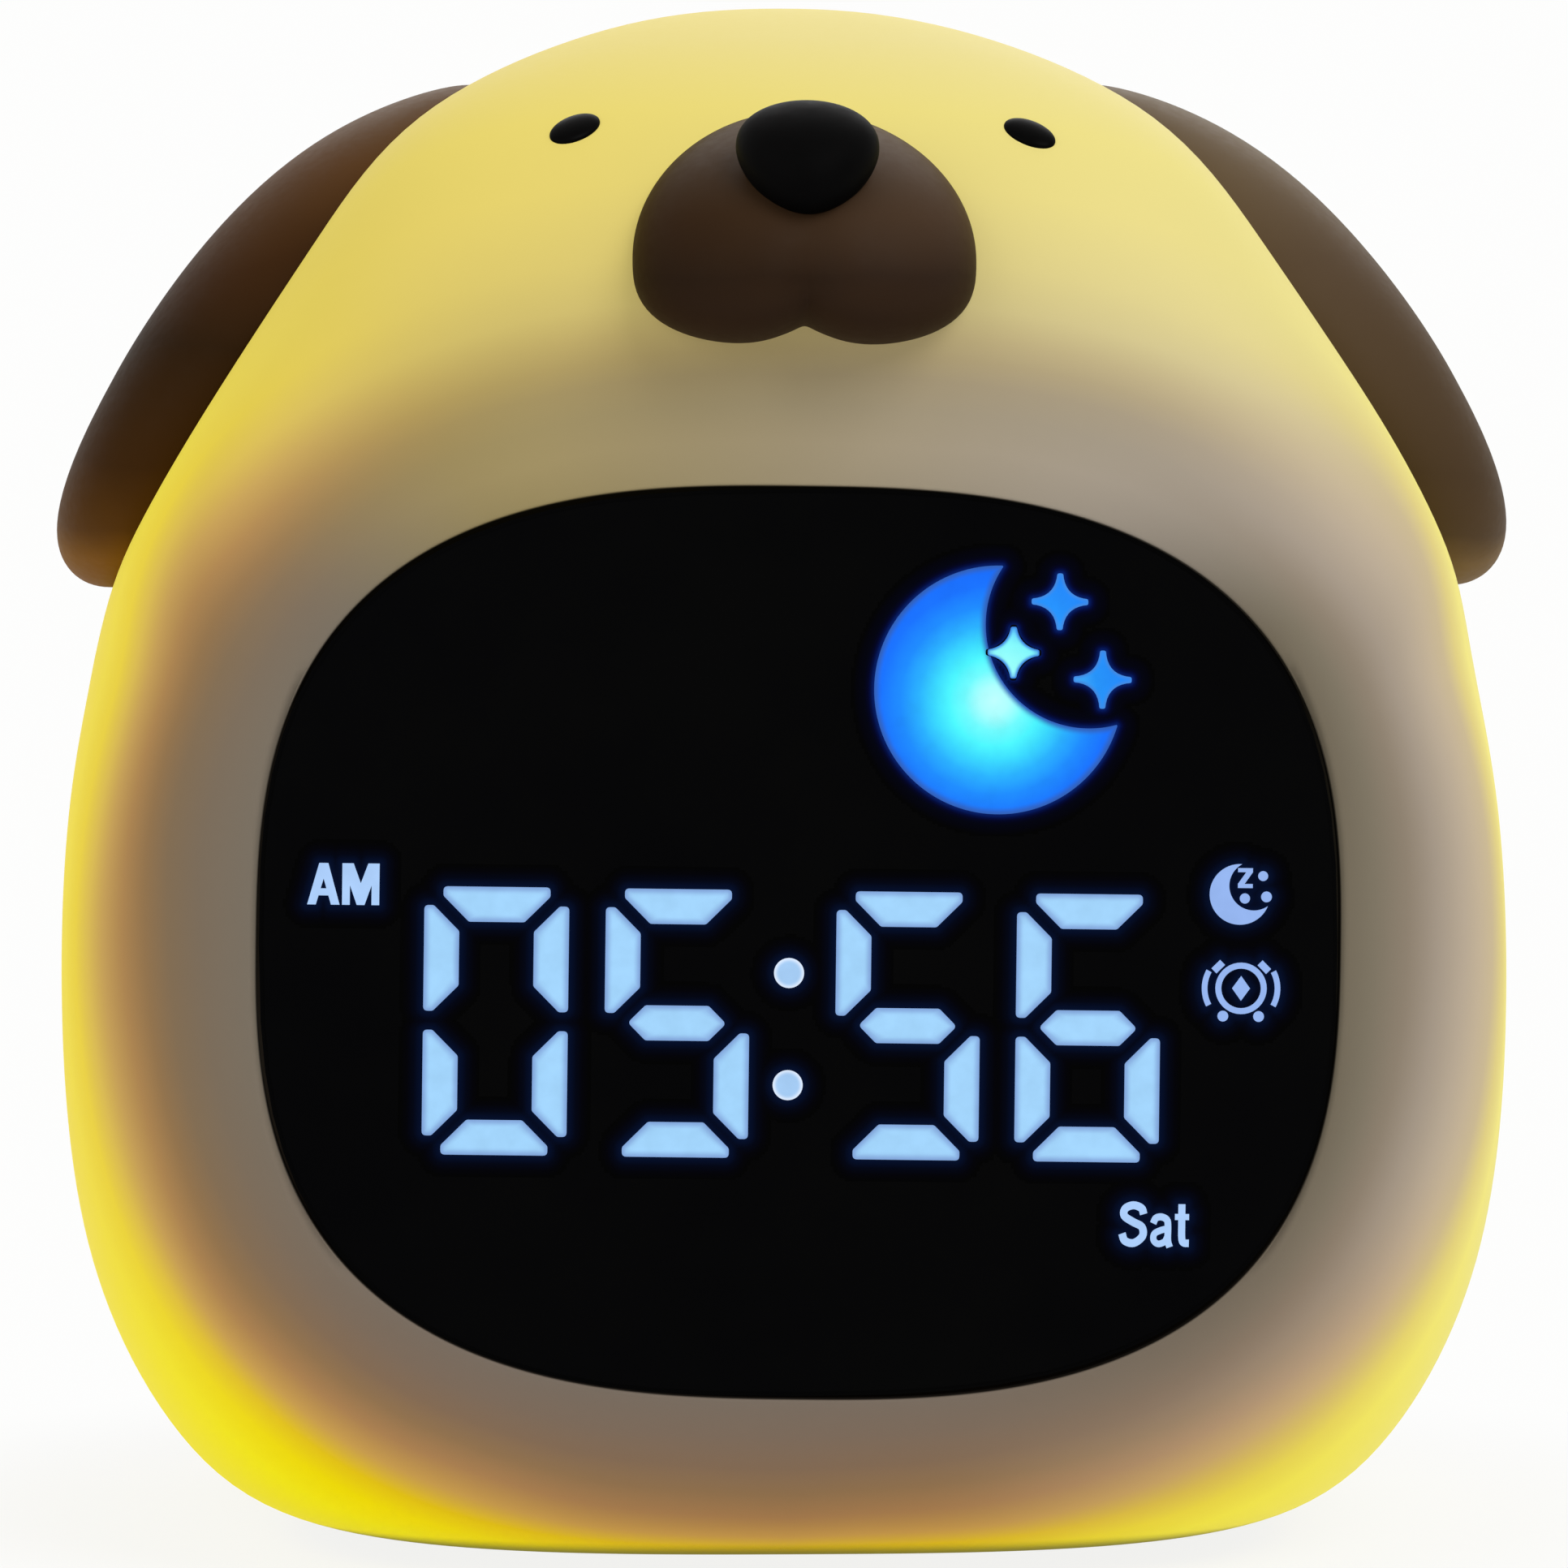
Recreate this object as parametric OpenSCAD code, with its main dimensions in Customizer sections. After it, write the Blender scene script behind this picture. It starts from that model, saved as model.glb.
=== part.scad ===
// Puppy-shaped alarm clock with a glowing silicone body.
// +Z is up, the display faces -Y, and the origin is the centre of the foot, on the table.

/* [Body] */
// Height from the table to the crown
body_h = 110; // [104:1:118]
// Full width that the sides swell to
body_w = 106; // [102:1:112]
// Depth that the front would swell to without its flat
front_bulge = 54.5; // [53:0.5:58]
// Depth that the back would swell to without its flat
rear_bulge = 50; // [49:0.5:54]
// Distance from the centre to the flat of the display
front_flat = 43.4; // [42.5:0.1:44.5]
// Lean of the display, in degrees
front_tilt = 4; // [2:0.5:5]
// Distance from the centre to the flat of the back
rear_flat = 43; // [42:0.5:44]
// Radius that softens the edge of both flats
flat_blend = 5; // [4:0.5:6]
// Wall of the silicone skin
skin_wall = 2.2; // [1.8:0.1:2.4]
// Wall of the diffuser core
core_wall = 2; // [1.6:0.1:2.4]

/* [Display] */
// Width of the window in the skin
window_w = 75.6; // [75:0.2:76.4]
// Height of the window in the skin
window_h = 63.6; // [63:0.2:64]
// Height of the window's centre over the table
window_z = 45.4; // [44.8:0.1:46]
// Depth of the lens under the skin
lens_recess = 0.35; // [0.2:0.05:0.5]
// Thickness of the lens
lens_t = 2; // [1.6:0.1:2.2]
// Depth of the light wells behind the lens
well_depth = 7; // [6:0.5:8]
// Width of one digit
digit_w = 10; // [9:0.1:10.4]
// Height of one digit
digit_h = 18.7; // [17:0.1:20]
// Width of the bars of a digit
bar_w = 2.4; // [2:0.1:2.6]
// Radius of the moon
moon_r = 8.65; // [8:0.05:9]

/* [Back] */
// Width of the rear cover
cover_w = 56; // [55:0.5:58]
// Height of the rear cover
cover_h = 56; // [55:0.5:58]
// Height of the rear cover's centre over the table
cover_z = 46; // [45:0.5:47]
// Radius of a key cap
key_r = 3.6; // [3.2:0.1:3.8]
// Distance that a key stands out of the cover
key_proud = 0.9; // [0.7:0.1:1.2]
// Travel of a key
key_travel = 0.6; // [0.4:0.1:0.7]
// Distance between the columns of keys
key_pitch = 11; // [10.5:0.1:12]
// Radius of the speaker
speaker_r = 10; // [9.5:0.1:10.2]
// Radius of a hole in the speaker grille
grille_hole_r = 0.8; // [0.5:0.1:0.9]

/* [Face] */
// Width of the muzzle
muzzle_w = 24; // [22:0.5:26]
// How far the muzzle stands out
muzzle_out = 9.4; // [8:0.2:10]
// Width of the nose
nose_w = 9.8; // [9:0.2:10.6]
// Height of the nose
nose_h = 7.9; // [7.4:0.1:8.4]
// Radius of an eye
eye_r = 1.75; // [1.4:0.05:2]
// Distance between the eyes
eye_pitch = 32; // [28:0.5:34]
// Thickness of an ear at its middle
ear_t = 9; // [8.4:0.1:9.6]
// Distance from the middle of an ear to its front and rear edges
ear_half_w = 20; // [18:0.5:21]

/* [Inside] */
// Radius of the battery cell
cell_r = 9.2; // [9:0.1:9.3]
// Length of the battery cell
cell_l = 65; // [64:0.5:65.5]
// Thickness of the circuit boards
board_t = 1.6; // [1.2:0.1:1.8]
// Outer radius of the foot ring
foot_r = 20; // [18:0.5:22]
// Width of the foot ring
foot_w = 4.5; // [3.5:0.5:6]
// Radius of a wire of the inner leads
wire_r = 0.45; // [0.35:0.05:0.45]

/* [Hidden] */
key_names = ["time", "alarm", "light", "sound", "up", "down"];
$fn = 48;

// Gaps: parts of one body that seat, soft parts on the skin, and parts that move
seat_gap = 0.05;
skin_gap = 0.3;
slide_gap = 0.15;

// Cuts start this far outside a face, and reach this far in from the front and from the back
cut_ahead = 5;
front_cut = 12;
rear_cut = 16;
reach = 60;

// ---------- the body's surface ----------
centre_z = 52;
base_z = 0.6;
body_power = 3;
rear_power = 2.6;
inset_reach = 50;

// The head is squarer in front than the belly, and its sides draw together towards the back
head_power = 4.2;
head_taper = 0.003;
head_widest = -30;
head_low = body_h - 48;
head_high = body_h - 26;

// Outline poles as shares: height, half width, front depth, rear depth.
// The last pole lies a little over the crown, so that the curve itself ends at body_h.
outline = [
    [0, 0.405, 0.404, 0.48],
    [0, 0.7, 0.69, 0.75],
    [0.0585, 0.846, 0.917, 0.93],
    [0.177, 0.97, 0.99, 0.98],
    [0.342, 0.995, 1, 1],
    [0.488, 0.981, 0.99, 1],
    [0.58, 0.934, 0.963, 0.98],
    [0.6435, 0.93, 0.936, 0.95],
    [0.744, 0.81, 0.862, 0.86],
    [0.8537, 0.66, 0.752, 0.72],
    [0.9406, 0.54, 0.606, 0.56],
    [0.9954, 0.241, 0.257, 0.26],
    [1.0023, 0, 0, 0],
];
stations = [
    for (p = outline)
        [
            base_z + p[0] * (body_h - base_z),
            p[1] * body_w / 2,
            p[2] * front_bulge,
            p[3] * rear_bulge,
        ]
];
before_last = stations[len(stations) - 2];
mirrored = [before_last[0], -before_last[1], -before_last[2], -before_last[3]];
poles = [stations[0], stations[0], each stations, mirrored];
spans = len(poles) - 3;

function spline_basis(u) = [
    pow(1 - u, 3),
    3 * pow(u, 3) - 6 * u * u + 4,
    -3 * pow(u, 3) + 3 * u * u + 3 * u + 1,
    pow(u, 3),
] / 6;
function spline_at(s) =
    let (i = min(floor(s), spans - 1))
    spline_basis(s - i) * [for (k = [0:3]) poles[i + k]];
function smooth_min(a, b, k) =
    let (h = min(1, max(0, 0.5 + 0.5 * (b - a) / k)))
    b * (1 - h) + a * h - k * h * (1 - h);
function rounded(v, power) = sign(v) * pow(abs(v), 2 / power);
function head_share(z) =
    let (t = min(1, max(0, (z - head_low) / (head_high - head_low))))
    t * t * (3 - 2 * t);
function front_power(z) = body_power + (head_power - body_power) * head_share(z);
function narrowing(y, z) = 1 - head_taper * (y - head_widest) * head_share(z);
function display_depth(z) = front_flat - (z - centre_z) * tan(front_tilt);
function flattened(y, z) =
    smooth_min(-smooth_min(-y, display_depth(z), flat_blend), rear_flat, flat_blend);
function body_point(p, angle) =
    let (
        s = sin(angle),
        power = s < 0 ? front_power(p[0]) : rear_power,
        depth = s < 0 ? p[2] : p[3],
        y = flattened(depth * rounded(s, power), p[0])
    )
    [p[1] * rounded(cos(angle), power) * narrowing(y, p[0]), y, p[0]];

// The surface as heights over the plan: tables of width and depth against height
fine = [for (i = [0:6 * spans]) spline_at(i / 6)];
widths = [for (p = fine) [p[0], p[1]]];
fronts = [for (p = fine) [p[0], p[2]]];
rears = [for (p = fine) [p[0], p[3]]];
function cross_share(v, half, power) = pow(max(0, 1 - pow(abs(v) / half, power)), 1 / power);
function plain_front_y(x, z) =
    flattened(-lookup(z, fronts) * cross_share(x, lookup(z, widths), front_power(z)), z);
function front_y(x, z) =
    let (y = plain_front_y(x / narrowing(plain_front_y(x, z), z), z))
    plain_front_y(x / narrowing(y, z), z);
function side_x(y, z) =
    let (
        depth = lookup(z, y < 0 ? fronts : rears),
        power = y < 0 ? front_power(z) : rear_power
    )
    lookup(z, widths) * cross_share(y, depth, power) * narrowing(y, z);

// A closed solid from rings of points, with a point at either end. Seen from the end point, each
// ring runs anticlockwise.
module closed_loft(start, rings, end) {
    n = len(rings);
    m = len(rings[0]);
    last = n * m + 1;
    polyhedron(
        points = [start, for (ring = rings) each ring, end],
        faces = [
            for (j = [0:m - 1]) [0, 1 + j, 1 + (j + 1) % m],
            for (i = [0:n - 2], j = [0:m - 1])
                let (low = 1 + i * m, high = low + m, next = (j + 1) % m)
                [low + j, high + j, high + next, low + next],
            for (j = [0:m - 1]) [last - m + j, last, last - m + (j + 1) % m],
        ]
    );
}

// The body, drawn in towards its centre
module body_form(inset, around, rings) {
    k = 1 - inset / inset_reach;
    samples = [for (i = [0:rings]) spline_at(1 + (spans - 1) * i / rings)];
    function drawn_in(p) = [k * p[0], k * p[1], centre_z + k * (p[2] - centre_z)];
    closed_loft(
        drawn_in([0, 0, base_z]),
        [
            for (i = [0:rings - 1])
                [for (j = [0:around - 1]) drawn_in(body_point(samples[i], 360 * j / around))]
        ],
        drawn_in([0, 0, body_h])
    );
}

// A pad that lies on the body. outer and inner give a point from a share of the way to the rim
// and an angle, and they meet at the rim.
module pad(outer, inner, around, outer_rings, inner_rings) {
    function ring(face, share) = [for (j = [0:around - 1]) face(share, 360 * j / around)];
    closed_loft(
        inner(0, 0),
        [
            for (i = [1:inner_rings]) ring(inner, i / (inner_rings + 1)),
            for (i = [0:outer_rings - 1]) ring(outer, cos(90 * i / outer_rings)),
        ],
        outer(0, 0)
    );
}

// ---------- frames of reference ----------
// The display's own frame: x, depth under the flat, and height along it from the window's centre
function display_v(z) = (z - window_z) / cos(front_tilt);
module on_display() {
    translate([0, -display_depth(window_z), window_z]) rotate([-front_tilt, 0, 0]) children();
}
module display_slab(depth, thick) {
    translate([0, depth + thick, 0]) rotate([90, 0, 0]) linear_extrude(thick) children();
}
// The back's own frame: x, depth under the flat, and height from the cover's centre
module on_back() {
    translate([0, rear_flat, cover_z]) children();
}
module back_slab(depth, thick) {
    translate([0, -depth, 0]) rotate([90, 0, 0]) linear_extrude(thick) children();
}
module back_pin(at, depth, length, r) {
    translate([at[0], -depth, at[1]]) rotate([90, 0, 0]) cylinder(h = length, r = r);
}

function oval(half_w, half_h, power, steps) = [
    for (i = [0:steps - 1])
        let (a = 360 * i / steps)
        [half_w * rounded(cos(a), power), half_h * rounded(sin(a), power)]
];

// ---------- display: sizes ----------
window_power = 2.75;
lens_gap = 0.15;
lens_bevel = 0.3;
flange_out = 0.5;
tray_in = 1;
plate_t = 1.8;
step_t = 0.75;
plate_depth = lens_recess + lens_t;
tray_seat = plate_depth + plate_t;
board_depth = plate_depth + well_depth;
led_t = 0.7;
guide_gap = 0.5;
rim_t = 1.5;
wall_t = 0.9;
post_r = 2.2;
screw_r = 1;
head_r = 1.9;
head_t = 1.2;

module window_outline(grow) {
    polygon(oval(window_w / 2 + grow, window_h / 2 + grow, window_power, 72));
}

// Left edge of each digit, and the height of the middle of the row
digit_lefts = [-26.1, -13.6, 2.35, 14.9];
digit_v = -5.48;
colon_x = -1;
colon_v = [4, -4];
dot_r = 1.05;
moon_at = [13.5, 17.32];
moon_cut_at = moon_at + [8, 6.1];
moon_cut_r = 8.8;
stars = [[18, 23.62, 2.1], [14.75, 20.02, 1.8], [20.95, 18.12, 2.15]];
star_waist = 0.62;
star_wall = 0.5;
// Centre, half width and half height of the wells for the day, the half of the day and two signs
legends = [
    [-31.8, 4.12, 2.9, 1.7],
    [24.4, -19.68, 2.9, 1.9],
    [30.4, 3.22, 2.5, 2.5],
    [30.45, -3.48, 3, 2.5],
];

// The bars of one digit, left edge at x = 0 and middle of the digit at height 0
corner_gap = 0.53;
middle_gap = 1.5;
tip = 0.7;
function side_bar(t) =
    let (top = digit_h / 2 - corner_gap)
    [[0, tip], [tip, tip], [t, t], [t, top - t], [tip, top - tip], [0, top - tip]];
function end_bar(t) =
    let (near = corner_gap + tip, top = digit_h / 2)
    [
        [near, top], [near, top - tip], [corner_gap + t, top - t],
        [digit_w - corner_gap - t, top - t], [digit_w - near, top - tip], [digit_w - near, top],
    ];
function middle_bar(t) = [
    [middle_gap, 0], [middle_gap + t / 2, t / 2], [digit_w - middle_gap - t / 2, t / 2],
    [digit_w - middle_gap, 0], [digit_w - middle_gap - t / 2, -t / 2], [middle_gap + t / 2, -t / 2],
];
module bars() {
    for (flip = [0, 1]) mirror([0, flip]) {
        polygon(end_bar(bar_w));
        polygon(side_bar(bar_w));
        translate([digit_w, 0]) mirror([1, 0]) polygon(side_bar(bar_w));
    }
    polygon(middle_bar(bar_w));
}
module digit_shapes() {
    for (left = digit_lefts) translate([left, digit_v]) bars();
    for (v = colon_v) translate([colon_x, digit_v + v]) circle(dot_r);
}
module star(s, grow) {
    swell = 1 + grow / s[2];
    translate([s[0], s[1]])
        polygon([for (i = [0:7]) swell * (i % 2 == 0 ? s[2] : star_waist) * [cos(45 * i), sin(45 * i)]]);
}
module moon_shape() {
    difference() {
        translate(moon_at) circle(moon_r);
        translate(moon_cut_at) circle(moon_cut_r);
        for (s = stars) star(s, star_wall);
    }
}
module star_shapes() {
    for (s = stars) star(s, 0);
}
module legend_shapes() {
    for (b = legends) translate([b[0], b[1]]) square([2 * b[2], 2 * b[3]], center = true);
}

// Places of the LED chips: one behind each bar, dot and sign
bar_centres = [
    [digit_w / 2, (digit_h - bar_w) / 2], [digit_w / 2, 0], [digit_w / 2, -(digit_h - bar_w) / 2],
    for (x = [bar_w / 2, digit_w - bar_w / 2], v = [digit_h / 4, -digit_h / 4]) [x, v],
];
chips = [
    for (left = digit_lefts, c = bar_centres) [left + c[0], digit_v + c[1]],
    for (v = colon_v) [colon_x, digit_v + v],
    for (b = legends) [b[0], b[1]],
    for (s = stars) [s[0], s[1]],
    for (a = [150:40:310]) moon_at + 0.72 * moon_r * [cos(a), sin(a)],
];
chip_w = 1.3;
chip_h = 0.9;
chip_room = 0.2;
module chip_shapes(grow) {
    for (c = chips) translate(c) square([chip_w + 2 * grow, chip_h + 2 * grow], center = true);
}
display_posts = [[-29, 14.82], [29, 14.82], [-28, -15.18], [12, -23.68]];

// ---------- display: pieces ----------
module display_lens() {
    color([0.03, 0.03, 0.035])
        on_display() {
            display_slab(lens_recess + lens_bevel, lens_t - lens_bevel) window_outline(-lens_gap);
            display_slab(lens_recess, lens_bevel) window_outline(-lens_gap - lens_bevel);
        }
}

module display_housing() {
    color([0.12, 0.12, 0.13])
        on_display() difference() {
            union() {
                display_slab(plate_depth, plate_t) window_outline(-lens_gap);
                display_slab(plate_depth + step_t, plate_t - step_t) window_outline(flange_out);
                difference() {
                    display_slab(tray_seat, board_depth - tray_seat) window_outline(-tray_in);
                    display_slab(tray_seat, board_depth - tray_seat + 1) window_outline(-tray_in - rim_t);
                }
                display_slab(tray_seat, board_depth - tray_seat) well_blocks();
                for (p = display_posts)
                    display_slab(tray_seat, board_depth - tray_seat) translate(p) circle(post_r);
            }
            display_slab(plate_depth - 1, well_depth + 2) digit_shapes();
            display_slab(plate_depth - 1, well_depth + 2) moon_shape();
            display_slab(plate_depth - 1, well_depth + 2) star_shapes();
            display_slab(plate_depth - 1, well_depth + 2) legend_shapes();
            display_slab(board_depth - led_t - chip_room, led_t + 1) chip_shapes(chip_room);
            for (p = display_posts)
                display_slab(tray_seat, board_depth) translate(p) circle(screw_r + seat_gap);
        }
}
// Solid blocks that the light wells are cut through
module well_blocks() {
    for (left = digit_lefts)
        translate([left - wall_t, digit_v - digit_h / 2 - wall_t])
            square([digit_w + 2 * wall_t, digit_h + 2 * wall_t]);
    translate([colon_x, digit_v])
        square(2 * [dot_r + wall_t, colon_v[0] + dot_r + wall_t], center = true);
    translate(moon_at) circle(moon_r + wall_t);
    for (s = stars) translate([s[0], s[1]]) circle(s[2] + wall_t);
    for (b = legends)
        translate([b[0], b[1]]) square(2 * [b[2] + wall_t, b[3] + wall_t], center = true);
}

// A light guide fills the front of its well and stops short of the LED
guide_t = well_depth - led_t - guide_gap;
module digit_light_guides() {
    color([0.85, 0.93, 1]) on_display() display_slab(plate_depth, guide_t) digit_shapes();
}
module moon_light_guide() {
    color([0.35, 0.7, 1]) on_display() display_slab(plate_depth, guide_t) moon_shape();
}
module star_light_guides() {
    color([0.55, 0.8, 1]) on_display() display_slab(plate_depth, guide_t) star_shapes();
}
module legend_light_guides() {
    color([0.85, 0.93, 1]) on_display() display_slab(plate_depth, guide_t) legend_shapes();
}
module display_board() {
    color([0.1, 0.35, 0.2]) on_display() difference() {
        display_slab(board_depth, board_t) window_outline(-tray_in - slide_gap);
        for (p = display_posts)
            display_slab(board_depth - 1, board_t + 2) translate(p) circle(screw_r + seat_gap);
    }
}
module display_leds() {
    color([0.95, 0.95, 0.85]) on_display() display_slab(board_depth - led_t, led_t) chip_shapes(0);
}
module display_screws() {
    color("silver") on_display() for (p = display_posts) {
        display_slab(board_depth + board_t, head_t) translate(p) circle(head_r);
        display_slab(tray_seat + 1, board_depth + board_t - tray_seat - 1) translate(p) circle(screw_r);
    }
}

// ---------- shells ----------
rear_power_2d = 2.8;
rear_edge = 1.6;
core_front = 1 - (skin_wall + skin_gap) / inset_reach;
core_rear_depth = rear_flat * (1 - core_front);
cover_recess = 0.3;
cover_t = core_rear_depth - cover_recess - seat_gap;
lug_at = [cover_w / 2 - 6.5, cover_h / 2 - 10];
lug_r = 3.2;
boss_r = 2.8;
boss_depth = 10.5;
skin_around = 48;
skin_rings = 26;
core_around = 36;
core_rings = 20;
ring_deep = 2;
ring_wall = 1.2;
foot_h = 1.55;
foot_groove = 1;

module cover_outline(grow) {
    polygon(oval(cover_w / 2 + grow, cover_h / 2 + grow, rear_power_2d, 64));
}
module at_lugs() {
    for (x = [-1, 1], z = [-1, 1]) translate([x * lug_at[0], 0, z * lug_at[1]]) children();
}

module silicone_skin() {
    color([0.95, 0.86, 0.5])
        difference() {
            body_form(0, skin_around, skin_rings);
            body_form(skin_wall, skin_around, skin_rings);
            on_display() display_slab(-cut_ahead, front_cut) window_outline(0);
            on_back() back_slab(-cut_ahead, front_cut) cover_outline(slide_gap);
            for (side = [-1, 1]) eye_cut(side);
            translate([0, 0, -1]) difference() {
                cylinder(h = base_z + foot_groove + 1, r = foot_r + seat_gap);
                translate([0, 0, -1]) cylinder(h = reach, r = foot_r - foot_w - seat_gap);
            }
        }
}

module foot_ring() {
    color([0.8, 0.76, 0.66]) difference() {
        cylinder(h = foot_h, r = foot_r);
        translate([0, 0, -1]) cylinder(h = foot_h + 2, r = foot_r - foot_w);
    }
}

// The translucent core: a shell with a seat for the display, and lugs and bosses for the back
module diffuser_core() {
    color([0.97, 0.96, 0.92])
        difference() {
            union() {
                difference() {
                    body_form(skin_wall + skin_gap, core_around, core_rings);
                    body_form(skin_wall + skin_gap + core_wall, core_around, core_rings);
                    on_back() back_slab(-cut_ahead, rear_cut) cover_outline(-rear_edge);
                    on_display()
                        display_slab(-cut_ahead, rear_cut) window_outline(flange_out + slide_gap);
                }
                on_display() display_slab(tray_seat + seat_gap, ring_deep) difference() {
                    window_outline(flange_out + slide_gap + ring_wall);
                    window_outline(-tray_in + slide_gap);
                }
                on_back() at_lugs() {
                    back_pin([0, 0], core_rear_depth, core_wall, lug_r);
                    back_pin([0, 0], core_rear_depth, boss_depth - core_rear_depth, boss_r);
                }
            }
            on_back() at_lugs() back_pin([0, 0], 0, boss_depth + 1, screw_r + seat_gap);
        }
}

// ---------- the back ----------
key_rows = [cover_h / 2 - 8.65, cover_h / 2 - 17.35];
key_places = [for (z = key_rows, x = [-1, 0, 1]) [x * key_pitch, z]];
key_flange = 0.6;
key_flange_t = 1.2;
cover_back = cover_recess + cover_t;
key_lift = 0.3;
flange_depth = cover_back + key_lift;
usb_at = [0, 4.7 - cover_h / 2];
speaker_at = usb_at + [0, speaker_r + 2.8];
speaker_flange_t = 1.2;
usb_w = 8.94;
usb_h = 3.26;
usb_gap = 0.3;
board_back = 11;
pcb_half = [cover_w / 2 - 3.5, cover_h / 2 - 2.3];
pcb_v = -0.5;
pcb_posts = [
    for (x = [-1, 1]) each [
        [x * (cover_w / 2 - 9), 1],
        [x * (cover_w / 2 - 14.5), 8.5 - cover_h / 2],
    ]
];
pcb_post_r = 2.3;
pcb_screw_l = 5;
switch_w = 6;
switch_t = 3.4;
plunger_r = 1.7;
plunger_gap = 0.08;
plunger_sunk = 2;
plunger_end_gap = 0.2;
stem_r = 1.4;
stem_l = 1.8;
spigot_t = 1.2;
spigot_l = 3.5;
speaker_rib = 0.9;
speaker_rib_l = 2.4;
speaker_room = 0.7;

// A slot with round ends
module slot_shape(w, h) {
    square([w - h, h], center = true);
    for (x = [-1, 1]) translate([x * (w - h) / 2, 0]) circle(h / 2);
}
// Holes of the grille: one in the middle and three rings about it
grille_pitch = 2.35;
grille_places = [
    [0, 0],
    for (ring = [1:3], i = [0:6 * ring - 1])
        grille_pitch * ring * [cos(60 * i / ring), sin(60 * i / ring)],
];

module rear_cover() {
    color([0.93, 0.91, 0.85])
        on_back() difference() {
            union() {
                back_slab(cover_recess, cover_t) cover_outline(0);
                difference() {
                    back_slab(cover_back, spigot_l) cover_outline(-rear_edge - slide_gap);
                    back_slab(cover_back - 1, spigot_l + 2) cover_outline(-rear_edge - slide_gap - spigot_t);
                    at_lugs() back_pin([0, 0], cover_back, spigot_l + 1, lug_r + slide_gap);
                }
                for (p = pcb_posts) back_pin(p, cover_back, board_back - cover_back, pcb_post_r);
                difference() {
                    back_pin(speaker_at, cover_back, speaker_rib_l, speaker_r + slide_gap + speaker_rib);
                    back_pin(speaker_at, cover_back - 1, speaker_rib_l + 2, speaker_r + slide_gap);
                }
            }
            for (p = key_places) back_pin(p, -1, cover_back + 2, key_r + slide_gap);
            for (p = grille_places) back_pin(speaker_at + p, -1, cover_back + 2, grille_hole_r);
            back_slab(-1, front_cut)
                translate(usb_at) slot_shape(usb_w + 2 * usb_gap, usb_h + 2 * usb_gap);
            at_lugs() {
                back_pin([0, 0], -1, cover_back + 2, screw_r + slide_gap);
                back_pin([0, 0], 0, cover_recess + 1, head_r + slide_gap);
            }
            for (p = pcb_posts)
                back_pin(p, board_back - pcb_screw_l - 1, pcb_screw_l + 2, screw_r + seat_gap);
        }
}
module rear_screws() {
    color("silver") on_back() at_lugs() {
        back_pin([0, 0], cover_recess + seat_gap, 1 - 2 * seat_gap, head_r);
        back_pin([0, 0], cover_recess + 0.9, boss_depth - cover_recess - 1.4, screw_r);
    }
}
module main_board() {
    color([0.1, 0.35, 0.2]) on_back() difference() {
        back_slab(board_back, board_t)
            translate([0, pcb_v]) polygon(oval(pcb_half[0], pcb_half[1], rear_power_2d, 48));
        back_pin(speaker_at, board_back - 1, board_t + 2, speaker_r + speaker_room);
        for (p = pcb_posts) back_pin(p, board_back - 1, board_t + 2, screw_r + seat_gap);
    }
}
module main_board_screws() {
    color("silver") on_back() for (p = pcb_posts) {
        back_pin(p, board_back + board_t, head_t, head_r);
        back_pin(p, board_back - pcb_screw_l, pcb_screw_l + board_t, screw_r);
    }
}
// A switch's bore is as deep as its plunger sinks when it is pressed
plunger_bore = plunger_sunk + key_travel + plunger_end_gap;
module key_switches() {
    color([0.2, 0.2, 0.22]) on_back() for (p = key_places) difference() {
        back_slab(board_back - switch_t, switch_t) translate(p) square(switch_w, center = true);
        back_pin(p, board_back - switch_t - 1, 1 + plunger_bore, plunger_r + plunger_gap);
    }
}
// The plunger reaches from inside its switch to the stem of the cap
stem_end = flange_depth + key_flange_t + stem_l;
module plunger(p) {
    color([0.1, 0.1, 0.1]) on_back()
        back_pin(p, stem_end, board_back - switch_t + plunger_sunk - stem_end, plunger_r);
}
module key_cap(p) {
    edge = 0.5;
    top = cover_recess - key_proud;
    color([0.9, 0.75, 0.45]) on_back() translate([p[0], 0, p[1]]) rotate([90, 0, 0]) rotate_extrude()
        polygon([
            [0, top], [key_r - edge, top + 0.1],
            for (a = [75:-25:0]) [key_r - edge + edge * cos(a), top + 0.1 + edge - edge * sin(a)],
            [key_r, flange_depth], [key_r + key_flange, flange_depth],
            [key_r + key_flange, flange_depth + key_flange_t], [stem_r, flange_depth + key_flange_t],
            [stem_r, stem_end], [0, stem_end],
        ]);
}
// An upright socket: a shell with a tongue in its mouth
usb_wall = 0.3;
usb_mouth = 0.1;
usb_depth = 6.5;
usb_tongue = [6.7, 0.7];
usb_tongue_in = 0.9;
module usb_socket() {
    color("silver") on_back() {
        difference() {
            back_slab(cover_recess + usb_mouth, board_back - cover_recess - usb_mouth)
                translate(usb_at) slot_shape(usb_w, usb_h);
            back_slab(-1, usb_depth + 1)
                translate(usb_at) slot_shape(usb_w - 2 * usb_wall, usb_h - 2 * usb_wall);
        }
        back_slab(cover_recess + usb_mouth + usb_tongue_in, usb_depth - usb_tongue_in + 0.4)
            translate(usb_at) square(usb_tongue, center = true);
    }
}
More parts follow.
